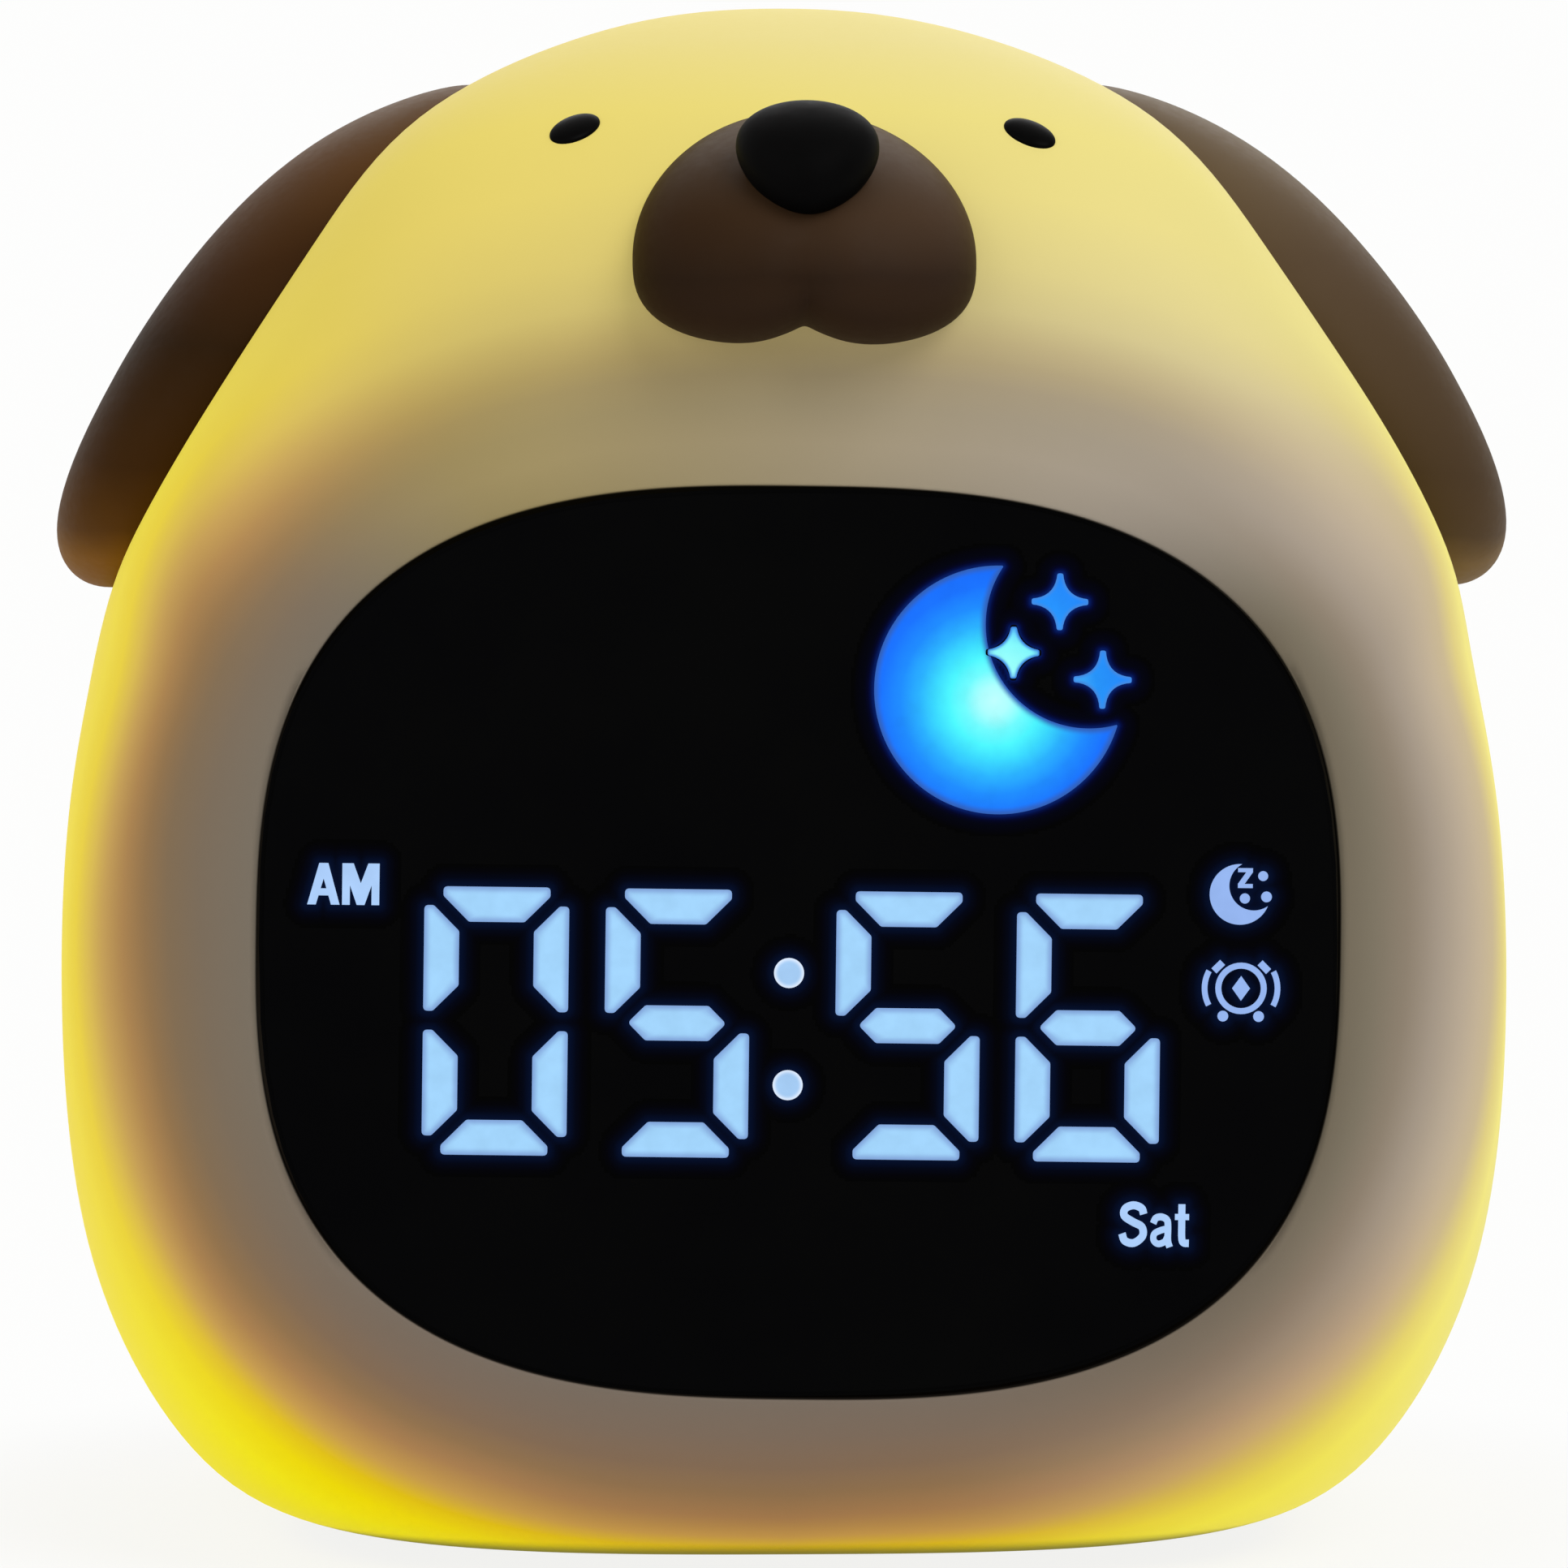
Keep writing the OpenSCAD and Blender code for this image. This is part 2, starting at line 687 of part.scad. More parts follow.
// The loudspeaker: basket, cone and magnet turn about one axis. Points are radius and depth.
module on_speaker() {
    translate([speaker_at[0], -cover_back, speaker_at[1]]) rotate([90, 0, 0]) rotate_extrude() children();
}
basket_depth = 5;
magnet_r = 6.2;
magnet_t = 3.6;
pole_r = 3.2;
coil_r = 2.9;
module speaker_frame() {
    color([0.15, 0.15, 0.16]) on_back() on_speaker()
        polygon([
            [speaker_r - 1.9, 0], [speaker_r, 0],
            [speaker_r, speaker_flange_t], [speaker_r - 1, speaker_flange_t],
            [magnet_r, basket_depth], [pole_r, basket_depth],
            [pole_r, basket_depth - 0.8], [magnet_r - 0.6, basket_depth - 0.8],
            [speaker_r - 1.9, speaker_flange_t],
        ]);
}
module speaker_cone() {
    color([0.25, 0.23, 0.2]) on_back() on_speaker()
        polygon([
            [speaker_r - 2.1, 0.4], [speaker_r - 2.1, 0.9], [coil_r, 3.6],
            [0, 3.2], [0, 2.8], [coil_r, 3.1],
        ]);
}
module speaker_magnet() {
    color([0.5, 0.5, 0.52]) on_back() translate([speaker_at[0], -cover_back - basket_depth, speaker_at[1]])
        rotate([90, 0, 0]) cylinder(h = magnet_t, r = magnet_r);
}

// ---------- inside ----------
floor_z = centre_z + (1 - (skin_wall + skin_gap + core_wall) / inset_reach) * (base_z - centre_z);
holder_z = floor_z + seat_gap;
pedestal = [36, 20, 2.6];
holder_floor = 1.4;
holder_wall = 1.3;
cell_gap = 0.25;
cell_end_room = 1.1;
cell_tip_r = 2.8;
cell_z = holder_z + pedestal[2] + holder_floor + cell_r + cell_gap;
holder_half = cell_l / 2 + cell_end_room;
light_z = cell_z + cell_r + 1.5;
light_post_r = 2.4;
light_post_l = 14.7;
light_screw_l = 6;
light_screw_x = holder_half + holder_wall + 1.6;
light_half_d = 13;
light_half_w = light_screw_x + 3;
night_led = [5, 5, 1.4];

module battery_holder() {
    half_d = cell_r + cell_gap;
    color([0.2, 0.2, 0.22]) difference() {
        union() {
            translate([-pedestal[0] / 2, -pedestal[1] / 2, holder_z]) cube(pedestal);
            translate([-holder_half, -half_d - holder_wall, holder_z + pedestal[2]])
                cube([2 * holder_half, 2 * (half_d + holder_wall), holder_floor + cell_r]);
            for (x = [-holder_half - holder_wall, holder_half])
                translate([x, -half_d - holder_wall, holder_z + pedestal[2]])
                    cube([holder_wall, 2 * (half_d + holder_wall), light_z - holder_z - pedestal[2]]);
            for (x = [-1, 1]) translate([x * light_screw_x, 0, light_z - light_post_l])
                cylinder(h = light_post_l, r = light_post_r);
        }
        translate([-holder_half, 0, cell_z])
            rotate([0, 90, 0]) cylinder(h = 2 * holder_half, r = cell_r + cell_gap);
        translate([-holder_half, -half_d, cell_z]) cube([2 * holder_half, 2 * half_d, reach]);
        for (x = [-1, 1]) translate([x * light_screw_x, 0, light_z - light_screw_l - 1])
            cylinder(h = light_screw_l + 2, r = screw_r + seat_gap);
    }
}
module battery_cell() {
    color([0.2, 0.45, 0.7]) translate([-cell_l / 2, 0, cell_z]) rotate([0, 90, 0]) {
        cylinder(h = cell_l, r = cell_r);
        translate([0, 0, cell_l]) cylinder(h = cell_end_room - 0.2, r = cell_tip_r);
    }
}
module light_board() {
    color([0.95, 0.95, 0.95]) translate([0, 0, light_z]) difference() {
        linear_extrude(board_t) polygon(oval(light_half_w, light_half_d, 4, 40));
        for (x = [-1, 1])
            translate([x * light_screw_x, 0, -1]) cylinder(h = board_t + 2, r = screw_r + seat_gap);
    }
}
module night_leds() {
    color([1, 0.9, 0.5])
        for (x = [-28:14:28], y = [-8, 8])
            translate([x, y, light_z + board_t + night_led[2] / 2]) cube(night_led, center = true);
}
module light_board_screws() {
    color("silver") for (x = [-1, 1]) translate([x * light_screw_x, 0, 0]) {
        translate([0, 0, light_z + board_t]) cylinder(h = head_t, r = head_r);
        translate([0, 0, light_z - light_screw_l]) cylinder(h = light_screw_l + board_t, r = screw_r);
    }
}

// A flat cable hangs between two sockets, one on the display board and one on the main board
ribbon_w = 12;
ribbon_t = 0.3;
ribbon_z = 58;
ribbon_sag = 9;
socket_t = 3;
socket_h = 4;
ribbon_in = 0.4;
ribbon_front = -display_depth(ribbon_z) + (board_depth + board_t) / cos(front_tilt) + ribbon_in;
ribbon_rear = rear_flat - board_back - board_t - ribbon_in;
ribbon_steps = 16;
ribbon_slot = [0.3, 0.6];
function ribbon_point(s) = [
    ribbon_front + s * (ribbon_rear - ribbon_front),
    ribbon_z - 4 * ribbon_sag * s * s * (1 - s) * (1 - s) * 4,
];
function mirrored_y(p) = [-p[0], p[1]];
module display_ribbon() {
    steps = ribbon_steps;
    edge = [0, ribbon_t / 2];
    color([0.9, 0.88, 0.8])
        translate([ribbon_w / 2, 0, 0]) rotate([90, 0, -90]) linear_extrude(ribbon_w)
            polygon([
                for (i = [0:steps]) mirrored_y(ribbon_point(i / steps) + edge),
                for (i = [steps:-1:0]) mirrored_y(ribbon_point(i / steps) - edge),
            ]);
}
module ribbon_sockets() {
    color([0.95, 0.93, 0.85]) difference() {
        union() {
            on_display() display_slab(board_depth + board_t, socket_t)
                translate([0, display_v(ribbon_z)])
                    square([ribbon_w + socket_t, socket_h], center = true);
            translate([0, rear_flat - board_back - board_t - socket_t / 2, ribbon_z])
                cube([ribbon_w + socket_t, socket_t, socket_h], center = true);
        }
        translate([0, 0, ribbon_z])
            cube([ribbon_w + ribbon_slot[0], 2 * reach, ribbon_t + ribbon_slot[1]], center = true);
    }
}

// Chips and cans on the inner face of the main board: centre, width, height, and then cans alone
board_chips = [[0, 5, 7, 7], [10.5, 5.5, 5, 4], [-10.5, 5.5, 5, 4], [-19.5, 8.5, 3, 3]];
chip_t = 1.4;
can_places = [[13.5, 17], [-13.5, 17]];
can_r = 2.5;
can_l = 5.4;
module board_chips() {
    color([0.08, 0.08, 0.09]) on_back() {
        for (c = board_chips)
            back_slab(board_back + board_t, chip_t)
                translate([c[0], c[1]]) square([c[2], c[3]], center = true);
        for (p = can_places) back_pin(p, board_back + board_t, can_l, can_r);
    }
}

// Two sockets on the main board take the plugs of the leads from the cell and to the night light
lead_x = 18.5;
lead_v = -8.5;
lead_pitch = 1.3;
plug_size = [4.4, 2.6, 3.4];
socket_wall = 0.8;
plug_gap = 0.05;
pad_gap = 0.1;
plug_y = rear_flat - board_back - board_t - socket_wall - plug_gap - plug_size[1] / 2;
plug_z = cover_z + lead_v;
module lead_sockets() {
    bore = plug_size + 2 * [plug_gap, plug_gap, plug_gap];
    color([0.95, 0.93, 0.85])
        for (side = [-1, 1]) translate([side * lead_x, plug_y, plug_z]) difference() {
            translate([0, 0, socket_wall / 2])
                cube(bore + [2 * socket_wall, 2 * socket_wall, socket_wall], center = true);
            translate([0, 0, -socket_wall]) cube(bore + [0, 0, 2 * socket_wall], center = true);
        }
}

// A wire through points chosen by hand: a smooth curve, as a tube with wire_around sides
wire_around = 8;
wire_steps = 3;
function wire_at(points, s) =
    let (
        last = len(points) - 1,
        i = min(max(floor(s), 0), last - 1),
        u = s - i,
        before = points[max(i - 1, 0)],
        a = points[i],
        b = points[i + 1],
        after = points[min(i + 2, last)]
    )
    0.5 * (2 * a + (b - before) * u + (2 * before - 5 * a + 4 * b - after) * u * u
        + (3 * a - before - 3 * b + after) * u * u * u);
module wire(points) {
    rings = wire_steps * (len(points) - 1);
    function along(i) =
        let (s = i / wire_steps, d = wire_at(points, s + 0.1) - wire_at(points, s - 0.1))
        d / norm(d);
    function ring(i) =
        let (t = along(i), side = cross(t, [0.8, 0.2, 0.1]), n = side / norm(side), b = cross(t, n))
        [
            for (j = [0:wire_around - 1])
                let (a = 360 * j / wire_around)
                wire_at(points, i / wire_steps) + wire_r * (cos(a) * n + sin(a) * b)
        ];
    closed_loft(points[0], [for (i = [0:rings]) ring(i)], points[len(points) - 1]);
}
// A plug in its socket, and two wires from it
module lead(side, routes) {
    translate([side * lead_x, plug_y, plug_z]) cube(plug_size, center = true);
    for (route = routes) wire(route);
}
function plug_route(side, k) = [
    [side * lead_x + k * lead_pitch / 2, plug_y, plug_z - plug_size[2] / 2 - seat_gap],
    [side * lead_x + k * lead_pitch / 2, plug_y, plug_z - plug_size[2] / 2 - 1.5],
];
module battery_lead() {
    end_x = -(cell_l + cell_end_room) / 2;
    color([0.6, 0.1, 0.1]) lead(-1, [
        for (k = [-1, 1]) [
            each plug_route(-1, k),
            [-21 + k * lead_pitch / 2, 26, 31],
            [-26 + k * lead_pitch / 2, 21, 27.5 + k * 0.4],
            [-30.5 + k * lead_pitch / 2, 15.5, 25.5 + k * 0.7],
            [end_x + 0.5, 12, cell_z + 6 + k * lead_pitch / 2],
            [end_x, 8.6, cell_z + 5.6 + k * lead_pitch / 2],
            [end_x, 5.5, cell_z + 4.8 + k * lead_pitch / 2],
            [end_x, 3, cell_z + 3.6 + k * lead_pitch / 2],
        ]
    ]);
}
module light_lead() {
    pad_z = light_z + board_t + pad_gap;
    color([0.1, 0.1, 0.1]) lead(1, [
        for (k = [-1, 1]) [
            each plug_route(1, k),
            [19.5 + k * lead_pitch / 2, 25.5, light_z + 3.5],
            [20.5 + k * lead_pitch / 2, 20, light_z + 4],
            [21 + k * lead_pitch / 2, 14.5, light_z + 5.4],
            [21 + k * lead_pitch / 2, 11, light_z + 4],
            [21 + k * lead_pitch / 2, 11, pad_z],
        ]
    ]);
}
// Two wires go from the speaker's frame round the edge of the board's opening to its inner face
module speaker_lead() {
    face = board_back + board_t;
    color([0.1, 0.1, 0.1]) on_back() for (k = [-1, 1])
        translate([speaker_at[0], 0, speaker_at[1] + k * lead_pitch]) wire([
            [speaker_r - 1.4, -cover_back - 2.6, 0],
            [speaker_r - 1.1, -cover_back - 5, 0],
            [speaker_r - 0.7, -face + 1, 0],
            [speaker_r - 0.4, -face - 1.8, 0],
            [speaker_r + 1.2, -face - 2.8, 0],
            [speaker_r + 2.4, -face - 1.4, 0],
            [speaker_r + 2.4, -face - pad_gap, 0],
        ]);
}

// ---------- the face ----------
muzzle_z = body_h - 17.1;
muzzle_up = 10.2;
muzzle_down = 6.15;
nose_z = body_h - 9.9;
nose_y = -44.2;
nose_front = 4.6;
nose_back = 4;
nose_lean = 0.5;
nose_gap = 0.1;
nose_taper = 0.2;
eye_z = body_h - 8.3;
eye_deep = 1;
ear_y = -2;
ear_z = body_h - 23;
ear_up = 17.5;
ear_down = 19;
ear_taper = 0.22;

// Reach of the muzzle's outline at an angle: an ellipse above, two lobes with a cleft below
function muzzle_reach(angle) =
    let (
        s = sin(angle),
        power = s < 0 ? 2.8 : 2,
        high = s < 0 ? muzzle_down : muzzle_up,
        share = pow(abs(cos(angle)) / (muzzle_w / 2), power) + pow(abs(s) / high, power)
    )
    (1 - 0.2 * exp(-pow((angle - 270) / 11, 2))) / pow(share, 1 / power);
function muzzle_crease(x, v) =
    1 - 0.14 * exp(-pow(x / 2, 2)) * (0.4 + 0.6 * min(1, max(0, 0.5 - v / 3)));
module muzzle_pad() {
    function place(share, angle, out) =
        let (r = share * muzzle_reach(angle), x = r * cos(angle), v = r * sin(angle))
        [x, front_y(x, muzzle_z + v) - skin_gap - out * muzzle_crease(x, v), muzzle_z + v];
    pad(
        function (share, angle) place(share, angle, muzzle_out * pow(1 - pow(share, 2.4), 0.5)),
        function (share, angle) place(share, angle, 0),
        40, 8, 4
    );
}
module muzzle() {
    color([0.2, 0.14, 0.09]) difference() {
        muzzle_pad();
        nose_form(nose_gap);
    }
}
module nose_form(grow) {
    half_w = nose_w / 2 + grow;
    half_h = nose_h / 2 + grow;
    function ring(share, depth) = [
        for (a = [0:18:342])
            let (x = half_w * cos(a) * (1 + nose_taper * sin(a)), z = share * half_h * sin(a))
            [share * x, nose_y + depth + nose_lean * z, nose_z + z]
    ];
    closed_loft(
        [0, nose_y + nose_back + grow, nose_z],
        [for (a = [75:-15:-75]) ring(cos(a), (a > 0 ? nose_back + grow : nose_front + grow) * sin(a))],
        [0, nose_y - nose_front - grow, nose_z]
    );
}
module nose() {
    color([0.04, 0.04, 0.04]) nose_form(0);
}

// An eye button stands square to the head
eye_step = 0.5;
module at_eye(side) {
    x = eye_pitch / 2;
    slope_x = (front_y(x + eye_step, eye_z) - front_y(x - eye_step, eye_z)) / (2 * eye_step);
    slope_z = (front_y(x, eye_z + eye_step) - front_y(x, eye_z - eye_step)) / (2 * eye_step);
    along = [side * slope_x, -1, slope_z];
    translate([side * x, front_y(x, eye_z), eye_z])
        rotate([0, acos(along[2] / norm(along)), atan2(along[1], along[0])]) children();
}
module eye_cut(side) {
    at_eye(side) translate([0, 0, -eye_deep]) cylinder(h = eye_deep + 3, r = eye_r + seat_gap);
}
module eye(side) {
    dome = 0.5;
    color([0.03, 0.03, 0.03]) at_eye(side) rotate_extrude()
        polygon([
            [0, -eye_deep + seat_gap], [eye_r, -eye_deep + seat_gap],
            for (a = [0:15:75]) [eye_r * cos(a), dome * sin(a)],
            [0, dome],
        ]);
}

// An ear lies on the side of the head and swells outwards
module ear() {
    function place(share, angle, out) =
        let (y = ear_y + share * ear_half_w * cos(angle) * (1 - ear_taper * sin(angle)))
        let (z = ear_z + share * (sin(angle) < 0 ? ear_down : ear_up) * sin(angle))
        [side_x(y, z) + skin_gap + out, y, z];
    function fullness(angle) = 2 + 1.5 * pow(cos(angle), 2) + 0.3 * pow(max(0, -sin(angle)), 2);
    function swell(share, angle) = ear_t * pow(1 - pow(share, fullness(angle)), 0.5);
    color([0.24, 0.17, 0.11]) pad(
        function (share, angle) place(share, angle, swell(share, angle)),
        function (share, angle) place(share, angle, 0),
        32, 7, 4
    );
}

silicone_skin();
mirror([1, 0, 0]) ear();  // ear_left
ear();  // ear_right
muzzle();
nose();
eye(-1);  // eye_left
eye(1);  // eye_right
foot_ring();
diffuser_core();
display_lens();
display_housing();
digit_light_guides();
moon_light_guide();
star_light_guides();
legend_light_guides();
display_board();
display_leds();
display_screws();
rear_cover();
rear_screws();
main_board();
main_board_screws();
key_switches();
usb_socket();
speaker_frame();
speaker_cone();
speaker_magnet();
battery_holder();
battery_cell();
light_board();
night_leds();
light_board_screws();
display_ribbon();
ribbon_sockets();
board_chips();
lead_sockets();
battery_lead();
light_lead();
speaker_lead();
for (i = [0:len(key_names) - 1]) {
    key_cap(key_places[i]);
    plunger(key_places[i]);
}
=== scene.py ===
"""Puppy-shaped night-light alarm clock, dressed over its CAD frame. Sizes are in millimetres."""
import math
from functools import partialmethod

import bpy
import numpy as np
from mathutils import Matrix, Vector


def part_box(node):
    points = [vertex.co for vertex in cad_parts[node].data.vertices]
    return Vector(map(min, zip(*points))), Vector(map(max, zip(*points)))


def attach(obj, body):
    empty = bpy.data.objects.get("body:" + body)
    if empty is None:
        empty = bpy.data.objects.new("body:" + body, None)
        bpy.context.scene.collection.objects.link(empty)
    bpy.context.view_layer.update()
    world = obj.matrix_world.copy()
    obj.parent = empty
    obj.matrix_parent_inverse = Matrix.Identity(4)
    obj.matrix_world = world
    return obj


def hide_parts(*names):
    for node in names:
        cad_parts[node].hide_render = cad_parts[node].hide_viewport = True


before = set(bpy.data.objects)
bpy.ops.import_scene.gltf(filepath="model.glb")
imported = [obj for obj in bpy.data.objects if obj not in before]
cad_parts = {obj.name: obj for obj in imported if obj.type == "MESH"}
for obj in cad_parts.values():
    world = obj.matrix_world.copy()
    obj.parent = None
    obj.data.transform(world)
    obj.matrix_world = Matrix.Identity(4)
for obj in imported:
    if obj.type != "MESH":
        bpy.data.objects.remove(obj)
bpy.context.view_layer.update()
MM = 0.001

# ---------- the body's surface, with the CAD source's own sizes ----------
CENTRE_Z, BASE_Z, BODY_H, BODY_W = 52.0, 0.6, 110.0, 106.0
FRONT_BULGE, REAR_BULGE = 54.5, 50.0
BODY_POWER, REAR_POWER = 3.0, 2.6
HEAD_POWER, HEAD_TAPER, HEAD_WIDEST = 4.2, 0.003, -30.0
HEAD_LOW, HEAD_HIGH = BODY_H - 48, BODY_H - 26
FRONT_FLAT, REAR_FLAT, BLEND = 43.4, 43.0, 5.0
TILT = math.radians(4)
SKIN_WALL, INSET_REACH = 2.2, 50.0
OUTLINE = np.array([
    [0, 0.405, 0.404, 0.48],
    [0, 0.7, 0.69, 0.75],
    [0.0585, 0.846, 0.917, 0.93],
    [0.177, 0.97, 0.99, 0.98],
    [0.342, 0.995, 1, 1],
    [0.488, 0.981, 0.99, 1],
    [0.58, 0.934, 0.963, 0.98],
    [0.6435, 0.93, 0.936, 0.95],
    [0.744, 0.81, 0.862, 0.86],
    [0.8537, 0.66, 0.752, 0.72],
    [0.9406, 0.54, 0.606, 0.56],
    [0.9954, 0.241, 0.257, 0.26],
    [1.0023, 0, 0, 0],
])
STATIONS = OUTLINE * [BODY_H - BASE_Z, BODY_W / 2, FRONT_BULGE, REAR_BULGE] + [BASE_Z, 0, 0, 0]
POLES = np.vstack([STATIONS[:1], STATIONS[:1], STATIONS, STATIONS[-2] * [1, -1, -1, -1]])
SPANS = len(POLES) - 3


def spline_at(s):
    i = np.minimum(np.floor(s).astype(int), SPANS - 1)
    u = s - i
    basis = [(1 - u) ** 3, 3 * u**3 - 6 * u * u + 4, -3 * u**3 + 3 * u * u + 3 * u + 1, u**3]
    return sum(b[:, None] * POLES[i + k] for k, b in enumerate(basis)) / 6


TABLE = spline_at(np.linspace(1, SPANS, 6000))
TABLE[:, 0] = np.maximum.accumulate(TABLE[:, 0])


def at_height(z, column):
    return np.interp(z, TABLE[:, 0], TABLE[:, column])


def smooth_min(a, b, k):
    h = np.clip(0.5 + 0.5 * (b - a) / k, 0, 1)
    return b * (1 - h) + a * h - k * h * (1 - h)


def display_depth(z):
    return FRONT_FLAT - (z - CENTRE_Z) * math.tan(TILT)


def flattened(y, z):
    return smooth_min(-smooth_min(-y, display_depth(z), BLEND), REAR_FLAT, BLEND)


def head_share(z):
    t = np.clip((z - HEAD_LOW) / (HEAD_HIGH - HEAD_LOW), 0, 1)
    return t * t * (3 - 2 * t)


def front_power(z):
    return BODY_POWER + (HEAD_POWER - BODY_POWER) * head_share(z)


def narrowing(y, z):
    """The head's sides draw together towards the back."""
    return 1 - HEAD_TAPER * (y - HEAD_WIDEST) * head_share(z)


def cross_share(v, half, power):
    share = np.abs(v) / np.maximum(half, 1e-6)
    return np.maximum(0, 1 - share**power) ** (1 / power)


def plain_front_y(x, z):
    return flattened(-at_height(z, 2) * cross_share(x, at_height(z, 1), front_power(z)), z)


def plain_rear_y(x, z):
    return flattened(at_height(z, 3) * cross_share(x, at_height(z, 1), REAR_POWER), z)


def settled(plain, x, z):
    """The depth of the surface at x, where the narrowing follows the depth itself."""
    y = plain(x, z)
    for _ in range(3):
        y = plain(x / narrowing(y, z), z)
    return y


def front_y(x, z):
    return settled(plain_front_y, x, z)


def rear_y(x, z):
    return settled(plain_rear_y, x, z)


def side_x(y, z):
    front = cross_share(y, at_height(z, 2), front_power(z))
    rear = cross_share(y, at_height(z, 3), REAR_POWER)
    return at_height(z, 1) * narrowing(y, z) * np.where(y < 0, front, rear)


def inside(p):
    y, z = p[..., 1], p[..., 2]
    x = p[..., 0] / narrowing(y, z)
    within = (z > BASE_Z) & (z < BODY_H) & (np.abs(x) < at_height(z, 1))
    return within & (y > plain_front_y(x, z)) & (y < plain_rear_y(x, z))


# ---------- meshes ----------
def rounded(v, power):
    return np.sign(v) * np.abs(v) ** (2 / power)


def full_turn(steps):
    return np.linspace(0, 2 * math.pi, steps, endpoint=False)


def oval(half_w, half_h, power, steps):
    a = full_turn(steps)
    return np.stack([half_w * rounded(np.cos(a), power), half_h * rounded(np.sin(a), power)], 1)


def placed(name, data):
    obj = bpy.data.objects.new(name, data)
    bpy.context.scene.collection.objects.link(obj)
    return obj


def new_mesh(name, points, faces, body="housing", slot=None, stands_for=None, smooth=True):
    data = bpy.data.meshes.new(name)
    data.from_pydata((np.asarray(points, float) * MM).tolist(), [], faces)
    data.validate()
    data.update()
    data.shade_smooth() if smooth else data.shade_flat()
    obj = placed(name, data)
    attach(obj, body)
    if stands_for:
        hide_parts(stands_for)
    return obj


def loft_faces(rings, around, start=True, end=True):
    """Faces of a loft from a first point over its rings to a last one, either of which may be left out."""
    first = 1 if start else 0
    faces = []
    if start:
        faces += [(0, 1 + j, 1 + (j + 1) % around) for j in range(around)]
    for i in range(rings - 1):
        low = first + i * around
        for j in range(around):
            k = (j + 1) % around
            faces.append((low + j, low + around + j, low + around + k, low + k))
    if end:
        last = first + rings * around
        faces += [(last - around + j, last, last - around + (j + 1) % around) for j in range(around)]
    return faces


def loft(name, rings, start=None, end=None, **more):
    rings = [np.asarray(r, float) for r in rings]
    points = ([[start]] if start is not None else []) + rings + ([[end]] if end is not None else [])
    faces = loft_faces(len(rings), len(rings[0]), start is not None, end is not None)
    return new_mesh(name, np.vstack(points), faces, **more)


def mirrored(obj, name):
    """A copy on the other side of the body."""
    data = obj.data.copy()
    co = np.zeros(len(data.vertices) * 3)
    data.vertices.foreach_get("co", co)
    co[::3] *= -1
    data.vertices.foreach_set("co", co)
    data.flip_normals()
    twin = placed(name, data)
    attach(twin, "housing")
    return twin


# ---------- frames of reference ----------
WINDOW_W, WINDOW_H, WINDOW_Z, WINDOW_POWER = 75.6, 63.6, 45.4, 2.75
COVER_W, COVER_H, COVER_Z, COVER_POWER = 56.0, 56.0, 46.0, 2.8
LENS_RECESS = 0.35
ASKEW = math.radians(-0.85)


def on_display(x, v, depth):
    """World points from the display's own frame: x, height along the lens, depth under the flat.

    The soft skin lets the window and what it shows sit a little askew.
    """
    x, v, depth = np.broadcast_arrays(x, v, depth)
    x, v = x * math.cos(ASKEW) - v * math.sin(ASKEW), x * math.sin(ASKEW) + v * math.cos(ASKEW)
    y = -display_depth(WINDOW_Z) + depth * math.cos(TILT) + v * math.sin(TILT)
    z = WINDOW_Z - depth * math.sin(TILT) + v * math.cos(TILT)
    return np.stack([x, y, z], -1)


# ---------- silicone skin ----------
AROUND, RINGS, LIP = 288, 170, 0.3
CUT_DEPTH, COVER_GAP = 1.75, 0.15
MIDDLE = np.array([0, 0, 46.0])


def polar_outline(outline_3d):
    """An outline's points, resampled at even angles around the Y axis."""
    rel = outline_3d - MIDDLE
    angle = np.unwrap(np.arctan2(rel[:, 2], rel[:, 0]))
    order = np.argsort(angle)
    angle, rel = angle[order], rel[order]
    want = full_turn(AROUND)
    period = 2 * math.pi
    a = np.concatenate([angle - period, angle, angle + period])
    return np.stack([np.interp(want, a, np.tile(rel[:, k], 3)) for k in range(3)], 1) + MIDDLE


def window_ring(grow):
    flat = oval(WINDOW_W / 2 + grow, WINDOW_H / 2 + grow, WINDOW_POWER, 4000)
    return polar_outline(on_display(flat[:, 0], flat[:, 1], 0.0))


def cover_ring(grow):
    flat = oval(COVER_W / 2 + grow, COVER_H / 2 + grow, COVER_POWER, 4000)
    return polar_outline(np.stack([flat[:, 0], np.full(4000, REAR_FLAT), flat[:, 1] + COVER_Z], 1))


def radial(direction, inset):
    """Where rays from the middle leave the body that is drawn in by inset."""
    k = 1 - inset / INSET_REACH
    centre = np.array([0, 0, CENTRE_Z])
    low, high = np.zeros(direction.shape[:-1]), np.full(direction.shape[:-1], 90.0)
    for _ in range(26):
        mid = (low + high) / 2
        p = MIDDLE + direction * mid[..., None]
        hit = inside((p - centre) / k + centre)
        low, high = np.where(hit, mid, low), np.where(hit, high, mid)
    return MIDDLE + direction * low[..., None]


def skin_rings(front, rear, inset, count):
    """Rings over the body from the front outline to the rear one, along planes through the Y axis."""
    def polar(ring):
        rel = ring - MIDDLE
        return np.arctan2(np.hypot(rel[:, 0], rel[:, 2]), -rel[:, 1])

    azimuth = full_turn(AROUND)
    start, stop = polar(front), polar(rear)
    t = np.linspace(0, 1, count)[:, None]
    beta = start + t * (stop - start)
    direction = np.stack([np.cos(azimuth) * np.sin(beta), -np.cos(beta), np.sin(azimuth) * np.sin(beta)], -1)
    return radial(direction, inset)


